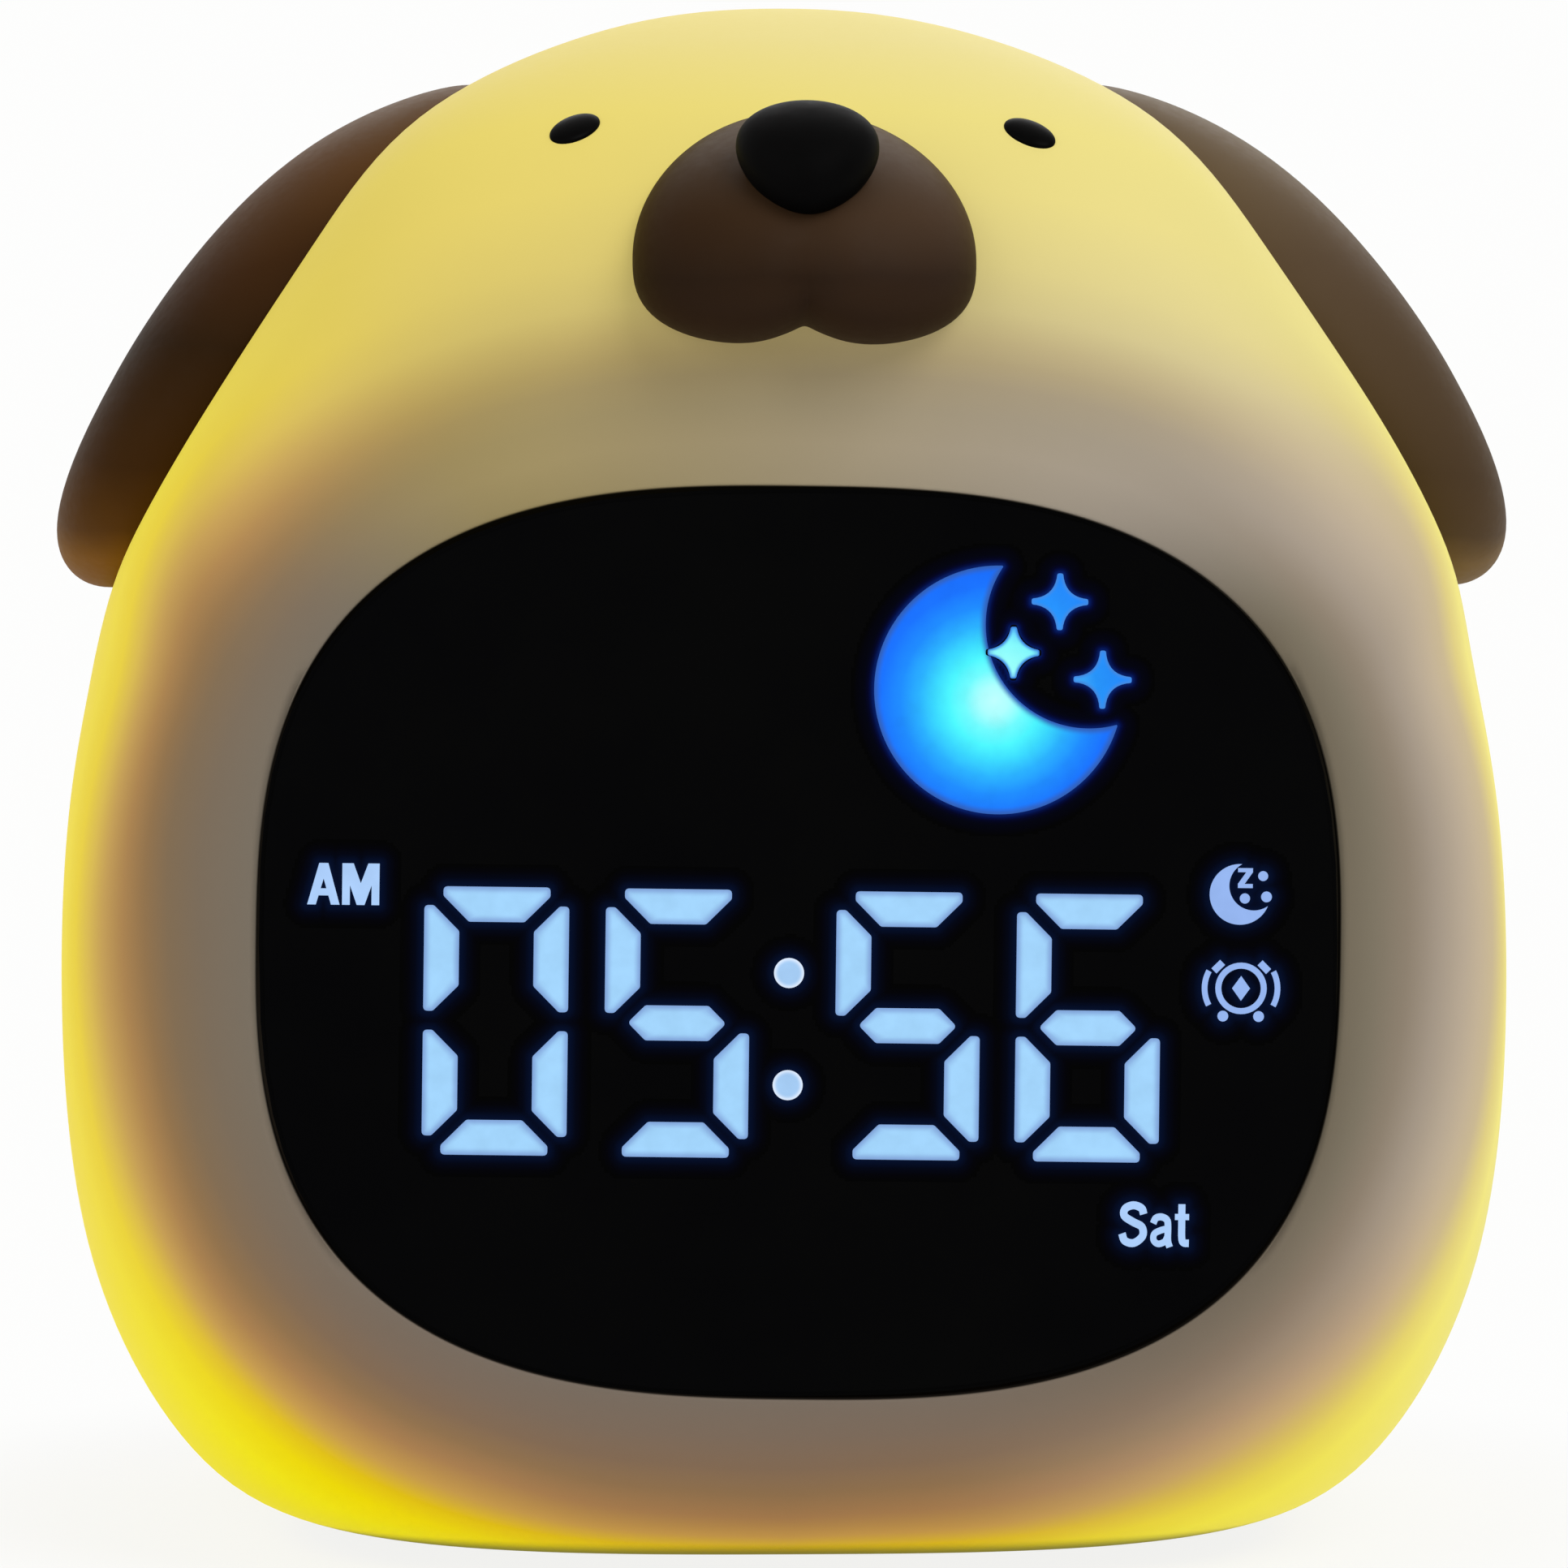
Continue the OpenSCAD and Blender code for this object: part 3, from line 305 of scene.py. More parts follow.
def lip_rings(make_ring, surface_y, sign):
    """Rings that round a cut edge and go down its wall. sign is -1 at the front, 1 at the rear."""
    def lowered(grow, depth):
        ring = make_ring(grow)
        ring[:, 1] = surface_y(ring[:, 0], ring[:, 2]) - sign * depth
        return ring

    turns = np.radians([72, 54, 36, 18, 0])
    rings = [lowered(LIP * (1 - math.cos(a)), LIP * (1 - math.sin(a))) for a in turns]
    return rings + [lowered(0, CUT_DEPTH)]


outer = skin_rings(window_ring(LIP), cover_ring(COVER_GAP + LIP), 0, RINGS)
inner = skin_rings(window_ring(0), cover_ring(COVER_GAP), SKIN_WALL, 40)
front_lip = lip_rings(window_ring, front_y, -1)
rear_lip = lip_rings(lambda grow: cover_ring(COVER_GAP + grow), rear_y, 1)
rings = [inner[0]] + front_lip[::-1] + list(outer) + rear_lip + list(inner[::-1])
skin = loft("skin", rings, slot="silicone", stands_for="silicone_skin")

# ---------- ears, muzzle, nose and eyes ----------
FACE_ASKEW = math.radians(-0.6)


def on_face(x, z):
    """A place on the soft face, which sits a little askew as the window does."""
    c, s = math.cos(FACE_ASKEW), math.sin(FACE_ASKEW)
    return x * c - (z - WINDOW_Z) * s, WINDOW_Z + x * s + (z - WINDOW_Z) * c


SKIN_GAP = 0.3
EAR_Y, EAR_Z, EAR_HALF_W, EAR_UP, EAR_DOWN = -2, BODY_H - 23, 20.0, 17.5, 19.0
EAR_T, EAR_TAPER = 9.0, 0.22


def pad(name, place, swell, around, outer_rings, inner_rings, sunk, **more):
    """A pad that lies on the body.

    place gives a point from a share of the way to the rim, an angle and how far it stands out.
    """
    a = full_turn(around)
    under = [place(np.full(around, i / inner_rings), a, -sunk) for i in range(1, inner_rings + 1)]
    over = []
    for i in range(outer_rings):
        share = np.full(around, math.cos(math.pi / 2 * i / outer_rings))
        over.append(place(share, a, swell(share, a)))
    zero = np.zeros(1)
    start, end = place(zero, zero, -sunk)[0], place(zero, zero, swell(zero, zero))[0]
    return loft(name, under + over, start, end, **more)


def ear_place(share, a, out):
    y = EAR_Y + share * EAR_HALF_W * np.cos(a) * (1 - EAR_TAPER * np.sin(a))
    z = EAR_Z + share * np.where(np.sin(a) < 0, EAR_DOWN, EAR_UP) * np.sin(a)
    return np.stack([side_x(y, z) + SKIN_GAP + out, y, z], 1)


def ear_swell(share, a):
    fullness = 2 + 1.5 * np.cos(a) ** 2 + 0.3 * np.maximum(0, -np.sin(a)) ** 2
    return EAR_T * np.maximum(0, 1 - share**fullness) ** 0.5


ear_right = pad(
    "ear_soft_right", ear_place, ear_swell, 128, 36, 6, 0.5, slot="brown_silicone", stands_for="ear_right")
ear_left = mirrored(ear_right, "ear_soft_left")
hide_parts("ear_left")

MUZZLE_Z, MUZZLE_W, MUZZLE_UP, MUZZLE_DOWN = BODY_H - 17.1, 24, 10.2, 6.15
MUZZLE_OUT, CREASE, CREASE_HALF_W = 9.4, 0.14, 2


def muzzle_reach(a):
    s = np.sin(a)
    power = np.where(s < 0, 2.8, 2.0)
    high = np.where(s < 0, MUZZLE_DOWN, MUZZLE_UP)
    share = (np.abs(np.cos(a)) / (MUZZLE_W / 2)) ** power + (np.abs(s) / high) ** power
    off = np.degrees(a) - 270
    cleft = 0.22 * np.exp(-((off / 26) ** 2)) + 0.03 * np.exp(-((off / 7) ** 2))
    return (1 - cleft) / share ** (1 / power)


def muzzle_place(share, a, out):
    r = share * muzzle_reach(a)
    across, up = r * np.cos(a), r * np.sin(a)
    below = np.clip(0.5 - up / 3, 0, 1)
    crease = 1 - CREASE * np.exp(-((across / CREASE_HALF_W) ** 2)) * (0.4 + 0.6 * below)
    x, z = on_face(across, MUZZLE_Z + up)
    return np.stack([x, front_y(x, z) - SKIN_GAP - out * crease, z], 1)


def muzzle_swell(share, a):
    return MUZZLE_OUT * np.maximum(0, 1 - share**2.4) ** 0.5


muzzle = pad(
    "muzzle_soft", muzzle_place, muzzle_swell, 160, 40, 6, 0.5, slot="brown_silicone", stands_for="muzzle")
muzzle.data.flip_normals()

NOSE_Z, NOSE_Y, NOSE_W, NOSE_H = BODY_H - 9.9, -44.2, 9.8, 7.9
NOSE_FRONT, NOSE_BACK, NOSE_TAPER, NOSE_LEAN = 4.6, 4.0, 0.2, 0.5


def nose_ring(share, depth):
    a = full_turn(96)
    x = NOSE_W / 2 * np.cos(a) * (1 + NOSE_TAPER * np.sin(a))
    z = share * NOSE_H / 2 * np.sin(a)
    place_x, place_z = on_face(share * x, NOSE_Z + z)
    return np.stack([place_x, NOSE_Y + depth + NOSE_LEAN * z, place_z], 1)


nose_rings = []
for a in np.radians(np.linspace(84, -84, 29)):
    nose_rings.append(nose_ring(math.cos(a), (NOSE_BACK if a > 0 else NOSE_FRONT) * math.sin(a)))
nose_x, nose_z = on_face(0, NOSE_Z)
nose_ends = [[nose_x, NOSE_Y + depth, nose_z] for depth in (NOSE_BACK, -NOSE_FRONT)]
nose = loft("nose_button", nose_rings, *nose_ends, slot="nose_silicone", stands_for="nose")

EYE_Z, EYE_R, EYE_X, EYE_DOME, EYE_SUNK = BODY_H - 8.3, 1.75, 16.0, 0.5, 0.9
# Seen from the front the buttons are ovals that slope down to the outside
EYE_OVAL, EYE_SLOPE = 0.5, math.radians(16)


def make_eye(side):
    step = 0.5
    x, z = on_face(side * EYE_X, EYE_Z)
    slope_x = (front_y(x + step, z) - front_y(x - step, z)) / (2 * step)
    slope_z = (front_y(x, z + step) - front_y(x, z - step)) / (2 * step)
    out = np.array([slope_x, -1, slope_z])
    out /= np.linalg.norm(out)
    across = np.cross(out, [0, 0, 1])
    across /= np.linalg.norm(across)
    up = np.cross(across, out)
    centre = np.array([x, front_y(x, z), z])
    a = full_turn(48)[:, None]
    tilt = side * EYE_SLOPE
    seen_across = np.cos(a) * math.cos(tilt) - EYE_OVAL * np.sin(a) * math.sin(tilt)
    seen_up = np.cos(a) * math.sin(tilt) + EYE_OVAL * np.sin(a) * math.cos(tilt)
    circle = seen_across * across + seen_up / abs(out[1]) * up
    rings = [centre + EYE_R * circle - EYE_SUNK * out]
    for b in np.radians(np.arange(0, 90, 9)):
        rings.append(centre + EYE_R * math.cos(b) * circle + EYE_DOME * math.sin(b) * out)
    hand = "left" if side < 0 else "right"
    ends = centre - EYE_SUNK * out, centre + EYE_DOME * out
    return loft("eye_button_" + hand, rings, *ends, slot="eye_plastic", stands_for="eye_" + hand)


eyes = [make_eye(-1), make_eye(1)]

# ---------- what the display shows ----------
GLYPH_DEPTH, LAYER = LENS_RECESS - 0.02, 0.006
FILM_DEPTH, FILM_LAYER, FILM_STEP, GLOW_REACH = LENS_RECESS - 0.01, 0.003, 0.2, 1.5
DIGIT_LEFTS, DIGIT_V, DIGIT_W, DIGIT_H = [-26.15, -13.5, 2.6, 15.2], -5.72, 10.1, 18.7
BAR_W, CORNER_GAP, MIDDLE_GAP, TIP = 2.45, 0.66, 1.62, 0.66
COLON_X, COLON_V, COLON_HALF, DOT_R = -0.67, -6.04, 3.91, 1.05
MOON_AT, MOON_R, MOON_CUT, MOON_CUT_R = (13.7, 17.8), 8.68, (20.0, 22.44), 7.25
STARS = [(17.92, 24.01, 1.98), (14.72, 20.42, 1.8), (20.97, 18.61, 2.03)]
BARS_OF = {"0": "abcdef", "5": "afgcd", "6": "afgecd"}
TOP = DIGIT_H / 2
NEAR = CORNER_GAP + TIP
SIDE = [
    (0, TIP), (TIP, TIP), (BAR_W, BAR_W), (BAR_W, TOP - CORNER_GAP - BAR_W),
    (TIP, TOP - CORNER_GAP - TIP), (0, TOP - CORNER_GAP - TIP),
]
END = [
    (NEAR, TOP), (NEAR, TOP - TIP), (CORNER_GAP + BAR_W, TOP - BAR_W),
    (DIGIT_W - CORNER_GAP - BAR_W, TOP - BAR_W), (DIGIT_W - NEAR, TOP - TIP), (DIGIT_W - NEAR, TOP),
]
MID_LEFT, MID_RIGHT = MIDDLE_GAP + BAR_W / 2, DIGIT_W - MIDDLE_GAP - BAR_W / 2
MID = [
    (MIDDLE_GAP, 0), (MID_LEFT, -BAR_W / 2), (MID_RIGHT, -BAR_W / 2),
    (DIGIT_W - MIDDLE_GAP, 0), (MID_RIGHT, BAR_W / 2), (MID_LEFT, BAR_W / 2),
]


def anticlockwise(poly):
    poly = np.asarray(poly, float)
    nxt = np.roll(poly, -1, 0)
    area = np.sum(poly[:, 0] * nxt[:, 1] - nxt[:, 0] * poly[:, 1])
    return poly if area > 0 else poly[::-1]


def bar(letter):
    side, end, middle = np.array(SIDE), np.array(END), np.array(MID)
    if letter in "bcef":
        shape = side if letter in "ef" else side * [-1, 1] + [DIGIT_W, 0]
        return anticlockwise(shape * [1, 1 if letter in "bf" else -1])
    return anticlockwise({"a": end, "d": end * [1, -1], "g": middle}[letter])


def soft_corners(poly, radius, steps=5):
    """The outline with each corner rounded."""
    out = []
    for k in range(len(poly)):
        p, before, after = poly[k], poly[k - 1], poly[(k + 1) % len(poly)]
        a, b = before - p, after - p
        la, lb = np.linalg.norm(a), np.linalg.norm(b)
        a, b = a / la, b / lb
        half = math.acos(float(np.clip(a @ b, -1, 1))) / 2
        cut = min(radius / max(math.tan(half), 0.15), 0.48 * la, 0.48 * lb)
        for i in range(steps + 1):
            t = i / steps
            out.append((1 - t) ** 2 * (p + cut * a) + 2 * t * (1 - t) * p + t * t * (p + cut * b))
    return np.array(out)


def on_circle(at, r, a):
    return np.stack([at[0] + r * np.cos(a), at[1] + r * np.sin(a)], 1)


def circle(x, v, r, steps=40):
    return on_circle((x, v), r, full_turn(steps))


def flat_shapes(islands):
    """Points and faces of flat shapes. Each island is an outline, or an outline with its hole."""
    points, faces = [], []
    for island in islands:
        first = len(points)
        if isinstance(island, tuple):
            edge = np.arange(len(island[0]))
            here, after, hole = first + edge, first + np.roll(edge, -1), len(edge)
            points += island[0].tolist() + island[1].tolist()
            faces += np.stack([here, after, hole + after, hole + here], 1).tolist()
        else:
            points += island.tolist()
            faces.append(list(range(first, len(points))))
    return np.array(points), faces


def on_lens(name, flat, faces, depth, slot):
    """A thin piece in the lens plane."""
    return new_mesh(name, on_display(flat[:, 0], flat[:, 1], depth), faces, slot=slot, smooth=False)


def flat_piece(name, islands, depth=GLYPH_DEPTH, slot="light_guide"):
    """Thin shapes of one tone in the lens plane."""
    return on_lens(name, *flat_shapes(islands), depth, slot)


def with_values(obj, name, value):
    attribute = obj.data.attributes.new(name, "FLOAT", "POINT")
    attribute.data.foreach_set("value", np.array(value, np.float32))
    return obj


def outline_distance(points, outline):
    a, b = outline[:, None], np.roll(outline, -1, 0)[:, None]
    along = b - a
    t = np.clip(((points - a) * along).sum(-1) / np.maximum((along**2).sum(-1), 1e-12), 0, 1)
    return np.linalg.norm(points - a - t[..., None] * along, axis=-1).min(0)


def shrinking(outline):
    """Rows of points from an outline towards its middle."""
    middle = outline.mean(0)
    shares = (1, 0.92, 0.84, 0.74, 0.62, 0.45, 0.2)
    return np.array([middle + (outline - middle) * share for share in shares])


def lit_piece(name, outlines, slot, rim, depth=GLYPH_DEPTH, strip=None):
    """Lit shapes in the lens plane: rings of points towards each middle, or the rows of a strip.

    A vertex value runs from 0 on the outline to 1 at rim inside it.
    """
    points, faces, value = [], [], []
    for outline in outlines:
        rows = shrinking(outline) if strip is None else strip
        ids = len(points) + np.arange(rows.shape[0] * rows.shape[1]).reshape(rows.shape[:2])
        here, after = (ids, np.roll(ids, -1, 1)) if strip is None else (ids[:, :-1], ids[:, 1:])
        faces += np.stack([here[:-1], after[:-1], after[1:], here[1:]], -1).reshape(-1, 4).tolist()
        if strip is None:
            faces.append(ids[-1].tolist())
        flat = rows.reshape(-1, 2)
        points += flat.tolist()
        value += np.clip(outline_distance(flat, outline) / rim, 0, 1).tolist()
    return with_values(on_lens(name, np.array(points), faces, depth, slot), "inside", value)


def glow_film(name, outlines, depth):
    """A film over the lens. Its vertex value falls from 1 on the lit outlines to 0 a little way off."""
    u = np.arange(-WINDOW_W / 2, WINDOW_W / 2, FILM_STEP)
    v = np.arange(-WINDOW_H / 2, WINDOW_H / 2, FILM_STEP)
    grid = np.stack(np.meshgrid(u, v, indexing="ij"), -1).reshape(-1, 2)
    value = np.zeros(len(grid))
    for outline in outlines:
        near = ((grid > outline.min(0) - GLOW_REACH) & (grid < outline.max(0) + GLOW_REACH)).all(1)
        fall = 1 - outline_distance(grid[near], outline) / GLOW_REACH
        value[near] = np.maximum(value[near], np.clip(fall, 0, 1))
    ids = np.arange(len(grid)).reshape(len(u), len(v))
    cells = np.stack([ids[:-1, :-1], ids[1:, :-1], ids[1:, 1:], ids[:-1, 1:]], -1).reshape(-1, 4)
    used, faces = np.unique(cells[value[cells].max(1) > 0], return_inverse=True)
    obj = on_lens(name, grid[used], faces.reshape(-1, 4).tolist(), depth, "lens")
    return with_values(obj, "glow", value[used])


BAR_CORNER, BAR_RIM, DOT_RIM, MOON_RIM, STAR_RIM = 0.32, 0.55, 0.35, 0.55, 0.3
digit_bars = []
for left, figure in zip(DIGIT_LEFTS, "0556"):
    for letter in BARS_OF[figure]:
        digit_bars.append(soft_corners(bar(letter), BAR_CORNER) + [left, DIGIT_V])
colon_dots = [circle(COLON_X, COLON_V + v, DOT_R) for v in (COLON_HALF, -COLON_HALF)]
digits = lit_piece("lit_digits", digit_bars, "light_guide", BAR_RIM)
colon = lit_piece("lit_colon", colon_dots, "light_guide", DOT_RIM)


def crescent_arcs(at, r, cut_at, cut_r, steps=72, blunt=0.0):
    """The outer and inner edge of a disc with another disc cut away, both from one tip to the other."""
    dx, dv = cut_at[0] - at[0], cut_at[1] - at[1]
    d = math.hypot(dx, dv)
    towards = math.atan2(dv, dx)
    half = math.acos((d * d + r * r - cut_r * cut_r) / (2 * d * r)) + blunt
    cut_half = math.acos((d * d + cut_r * cut_r - r * r) / (2 * d * cut_r)) - blunt
    outer = np.linspace(towards + half, towards - half + 2 * math.pi, steps)
    inner = np.linspace(towards + math.pi - cut_half, towards + math.pi + cut_half, steps)
    return on_circle(at, r, outer), on_circle(cut_at, cut_r, inner)


def crescent(*shape):
    rim, bite = crescent_arcs(*shape)
    return np.vstack([rim, bite[-2:0:-1]])


STAR_WAIST, STAR_TIP_HALF, STAR_CORNER, STAR_GROW = 1.0, 0.2, 0.14, 0.15


def star(s, grow=0.0):
    """A four-pointed star with hollow sides and blunt points."""
    quarter = np.array([[0, -1], [1, 0]])
    tip, m = s[2] + grow, np.full(2, (STAR_WAIST + grow * 0.7) / math.sqrt(2))
    pa, pb = np.array([tip, STAR_TIP_HALF]), np.array([STAR_TIP_HALF, tip])
    t = np.linspace(0, 1, 10)[:, None]
    side = (1 - t) ** 2 * pa + 2 * t * (1 - t) * (2 * m - (pa + pb) / 2) + t * t * pb
    sides = [side @ np.linalg.matrix_power(quarter, k).T for k in range(4)]
    return soft_corners(np.vstack(sides), STAR_CORNER, 2) + [s[0], s[1]]


moon_rim, moon_bite = crescent_arcs(MOON_AT, MOON_R, MOON_CUT, MOON_CUT_R, 96, 0.012)
moon_outline = np.vstack([moon_rim, moon_bite[::-1]])
moon_rows = np.array([moon_rim * (1 - t) + moon_bite * t for t in np.linspace(0, 1, 41)])
moon = lit_piece("lit_moon", [moon_outline], "moon_guide", MOON_RIM, strip=moon_rows)
star_shade = flat_piece("star_shade", [star(STARS[1], STAR_GROW)], GLYPH_DEPTH - LAYER, "lens")
star_outlines = [star(s) for s in STARS]
stars = lit_piece("lit_stars", star_outlines, "moon_guide", STAR_RIM, GLYPH_DEPTH - 2 * LAYER)


def quad_bar(x, v, length, width, angle):
    c, s = math.cos(math.radians(angle)), math.sin(math.radians(angle))
    corners = np.array([(-length, -width), (length, -width), (length, width), (-length, width)]) / 2
    return corners @ np.array([[c, s], [-s, c]]) + [x, v]


def arc_band(x, v, r, width, start, stop):
    a = np.radians(np.linspace(start, stop, 16))
    outer, inner = (on_circle((x, v), reach, a) for reach in (r + width / 2, r - width / 2))
    return np.vstack([outer, inner[::-1]])


# The sleep sign: a small moon, a z and dots. The alarm sign: a ring with a hand, side arcs, bells and feet.
SX, SV = 30.76, 3.74
letter_z = np.array([
    (0, 1.35), (0.8, 1.35), (0.8, 1.07), (0.36, 0.28), (0.8, 0.28),
    (0.8, 0), (0, 0), (0, 0.28), (0.44, 1.07), (0, 1.07),
])
sleep_sign = [
    anticlockwise(crescent((SX, SV), 2.12, (SX + 0.97, SV + 0.61), 1.72, 40)),
    anticlockwise(letter_z * [1.3, 1.03] + [SX - 0.15, SV + 0.45]),
    circle(SX + 1.61, SV + 1.3, 0.35, 20),
    circle(SX + 0.35, SV - 0.28, 0.36, 20),
    circle(SX + 1.86, SV - 0.15, 0.38, 20),
]
AX, AV = 30.92, -2.82
alarm_sign = [
    (circle(AX, AV, 1.8), circle(AX, AV, 1.38)),
    np.array([(AX + 0.63, AV), (AX, AV + 0.87), (AX - 0.63, AV), (AX, AV - 0.87)]),
    quad_bar(AX - 1.61, AV + 1.5, 0.85, 0.5, 45), quad_bar(AX + 1.61, AV + 1.5, 0.85, 0.5, -45),
    circle(AX - 1.25, AV - 1.95, 0.38, 20), circle(AX + 1.25, AV - 1.95, 0.38, 20),
] + [arc_band(AX, AV, 2.55, 0.4, mid - 28, mid + 28) for mid in (0, 180)]
signs = flat_piece("lit_signs", sleep_sign + alarm_sign)


def ribbon(path, width, steps=5):
    """A stroke of even width along a smooth path."""
    path = np.array(path, float)
    ext = np.vstack([2 * path[0] - path[1], path, 2 * path[-1] - path[-2]])
    line = []
    for k in range(len(path) - 1):
        a, b, c, d = ext[k : k + 4]
        for i in range(steps):
            u = i / steps
            bend = (2 * a - 5 * b + 4 * c - d) * u * u + (3 * b - a - 3 * c + d) * u**3
            line.append(0.5 * (2 * b + (c - a) * u + bend))
    line = np.array(line + [path[-1]])
    t = np.gradient(line, axis=0)
    t /= np.linalg.norm(t, axis=1, keepdims=True)
    n = np.stack([-t[:, 1], t[:, 0]], 1) * width / 2
    return np.vstack([line - n, (line + n)[::-1]])


# Bold letters as strokes: widths, and the shapes with the height of a capital as 1
LETTERS = {
    "A": (0.75, [
        [(0, 0), (0.2, 0), (0.48, 1), (0.27, 1)],
        [(0.55, 0), (0.75, 0), (0.48, 1), (0.27, 1)],
        [(0.13, 0.22), (0.62, 0.22), (0.57, 0.39), (0.18, 0.39)],
    ]),
    "M": (0.86, [
        [(0, 0), (0.18, 0), (0.18, 1), (0, 1)],
        [(0.68, 0), (0.86, 0), (0.86, 1), (0.68, 1)],
        [(0.34, 0), (0.44, 0), (0.51, 0.3), (0.26, 1), (0, 1)],
        [(0.42, 0), (0.52, 0), (0.86, 1), (0.6, 1), (0.35, 0.3)],
    ]),
    "S": (0.66, [
        ribbon([(0.57, 0.72), (0.52, 0.85), (0.33, 0.915), (0.14, 0.84), (0.12, 0.68), (0.32, 0.55),
                (0.53, 0.44), (0.55, 0.24), (0.35, 0.085), (0.14, 0.13), (0.07, 0.29)], 0.175),
    ]),
    "a": (0.53, [
        ribbon([(0.08, 0.52), (0.14, 0.635), (0.27, 0.665), (0.4, 0.6), (0.425, 0.45),
                (0.425, 0.15), (0.47, 0.0)], 0.155),
        ribbon([(0.43, 0.41), (0.26, 0.37), (0.11, 0.29), (0.095, 0.15), (0.2, 0.07),
                (0.35, 0.12), (0.42, 0.24)], 0.145),
    ]),
    "t": (0.34, [
        ribbon([(0.16, 0.95), (0.16, 0.55), (0.165, 0.2), (0.21, 0.1), (0.33, 0.09)], 0.165),
        [(0, 0.6), (0.33, 0.6), (0.33, 0.735), (0, 0.735)],
    ]),
}
LETTER_GAP = 0.055


def word(text, left, right, low, high):
    """The letters' outlines, filling a box in the display's frame."""
    total = sum(LETTERS[c][0] for c in text) + LETTER_GAP * (len(text) - 1)
    scale, at, out = np.array([(right - left) / total, high - low]), 0.0, []
    for c in text:
        width, shapes = LETTERS[c]
        out += [anticlockwise((np.array(shape) + [at, 0]) * scale + [left, low]) for shape in shapes]
        at += width + LETTER_GAP
    return out


half_of_day = word("AM", -34.32, -29.3, 2.25, 5.15)
day = word("Sat", 22.6, 27.52, -20.95, -17.78)
word_half = flat_piece("lit_am", half_of_day)
word_day = flat_piece("lit_day", day)
film = glow_film("lens_glow", [moon_outline] + star_outlines, FILM_DEPTH)
ring_outside = alarm_sign[0][0]
small_shapes = digit_bars + colon_dots + sleep_sign + [ring_outside] + alarm_sign[1:] + half_of_day + day
small_film = glow_film("lens_glow_small", small_shapes, FILM_DEPTH + FILM_LAYER)

# ---------- signs printed on the keys ----------
SIGN_RING = circle(0, 0, 1.75), circle(0, 0, 1.4)
BELL_SIDE = [(1.5, -0.85), (1.05, -0.45), (0.95, 0.35), (0.6, 0.95)]
BELL = np.array([(-x, v) for x, v in BELL_SIDE] + [(0, 1.2)] + BELL_SIDE[::-1])
RAYS = [
    quad_bar(1.45 * math.cos(a), 1.45 * math.sin(a), 0.6, 0.28, math.degrees(a))
    for a in np.arange(8) * math.pi / 4
]
NOTE_FLAG = np.array([(-0.2, 1.4), (-0.2, 0.85), (1.05, 0.35), (1.05, 0.95)])
ARROW = np.array([(-1.35, -0.75), (1.35, -0.75), (0, 1.2)])
KEY_SIGNS = {
    "time": [SIGN_RING, quad_bar(0, 0.45, 0.3, 1.1, 0), quad_bar(0.4, 0, 1.0, 0.3, 0)],
    "alarm": [BELL, circle(0, -1.2, 0.32, 16), quad_bar(0, 1.35, 0.3, 0.4, 0)],
    "light": [circle(0, 0, 0.8)] + RAYS,
    "sound": [circle(-0.5, -1.0, 0.55, 24), quad_bar(-0.08, 0.2, 0.27, 2.4, 0), NOTE_FLAG],
    "up": [ARROW],
    "down": [ARROW * [1, -1]],
}
KEY_SIGN_LIFT = 0.03


def key_sign(name):
    """Thin shapes on a key's cap, read from behind the clock."""
    low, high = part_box("key_" + name)
    at_x, at_z = (low.x + high.x) / 2 / MM, (low.z + high.z) / 2 / MM
    flat, faces = flat_shapes([s if isinstance(s, tuple) else anticlockwise(s) for s in KEY_SIGNS[name]])
    depth = np.full(len(flat), high.y / MM + KEY_SIGN_LIFT)
    world = np.stack([at_x - flat[:, 0], depth, at_z + flat[:, 1]], 1)
    return new_mesh("sign_" + name, world, faces, body=name + "_key", slot="switch_plastic", smooth=False)


key_prints = [key_sign(name) for name in KEY_SIGNS]

# ---------- materials ----------
def linear(*rgb):
    """A colour given as it looks, 0 to 255, for a shader."""
    shares = (v / 255 for v in rgb)
    return (*(v / 12.92 if v <= 0.04045 else ((v + 0.055) / 1.055) ** 2.4 for v in shares), 1.0)


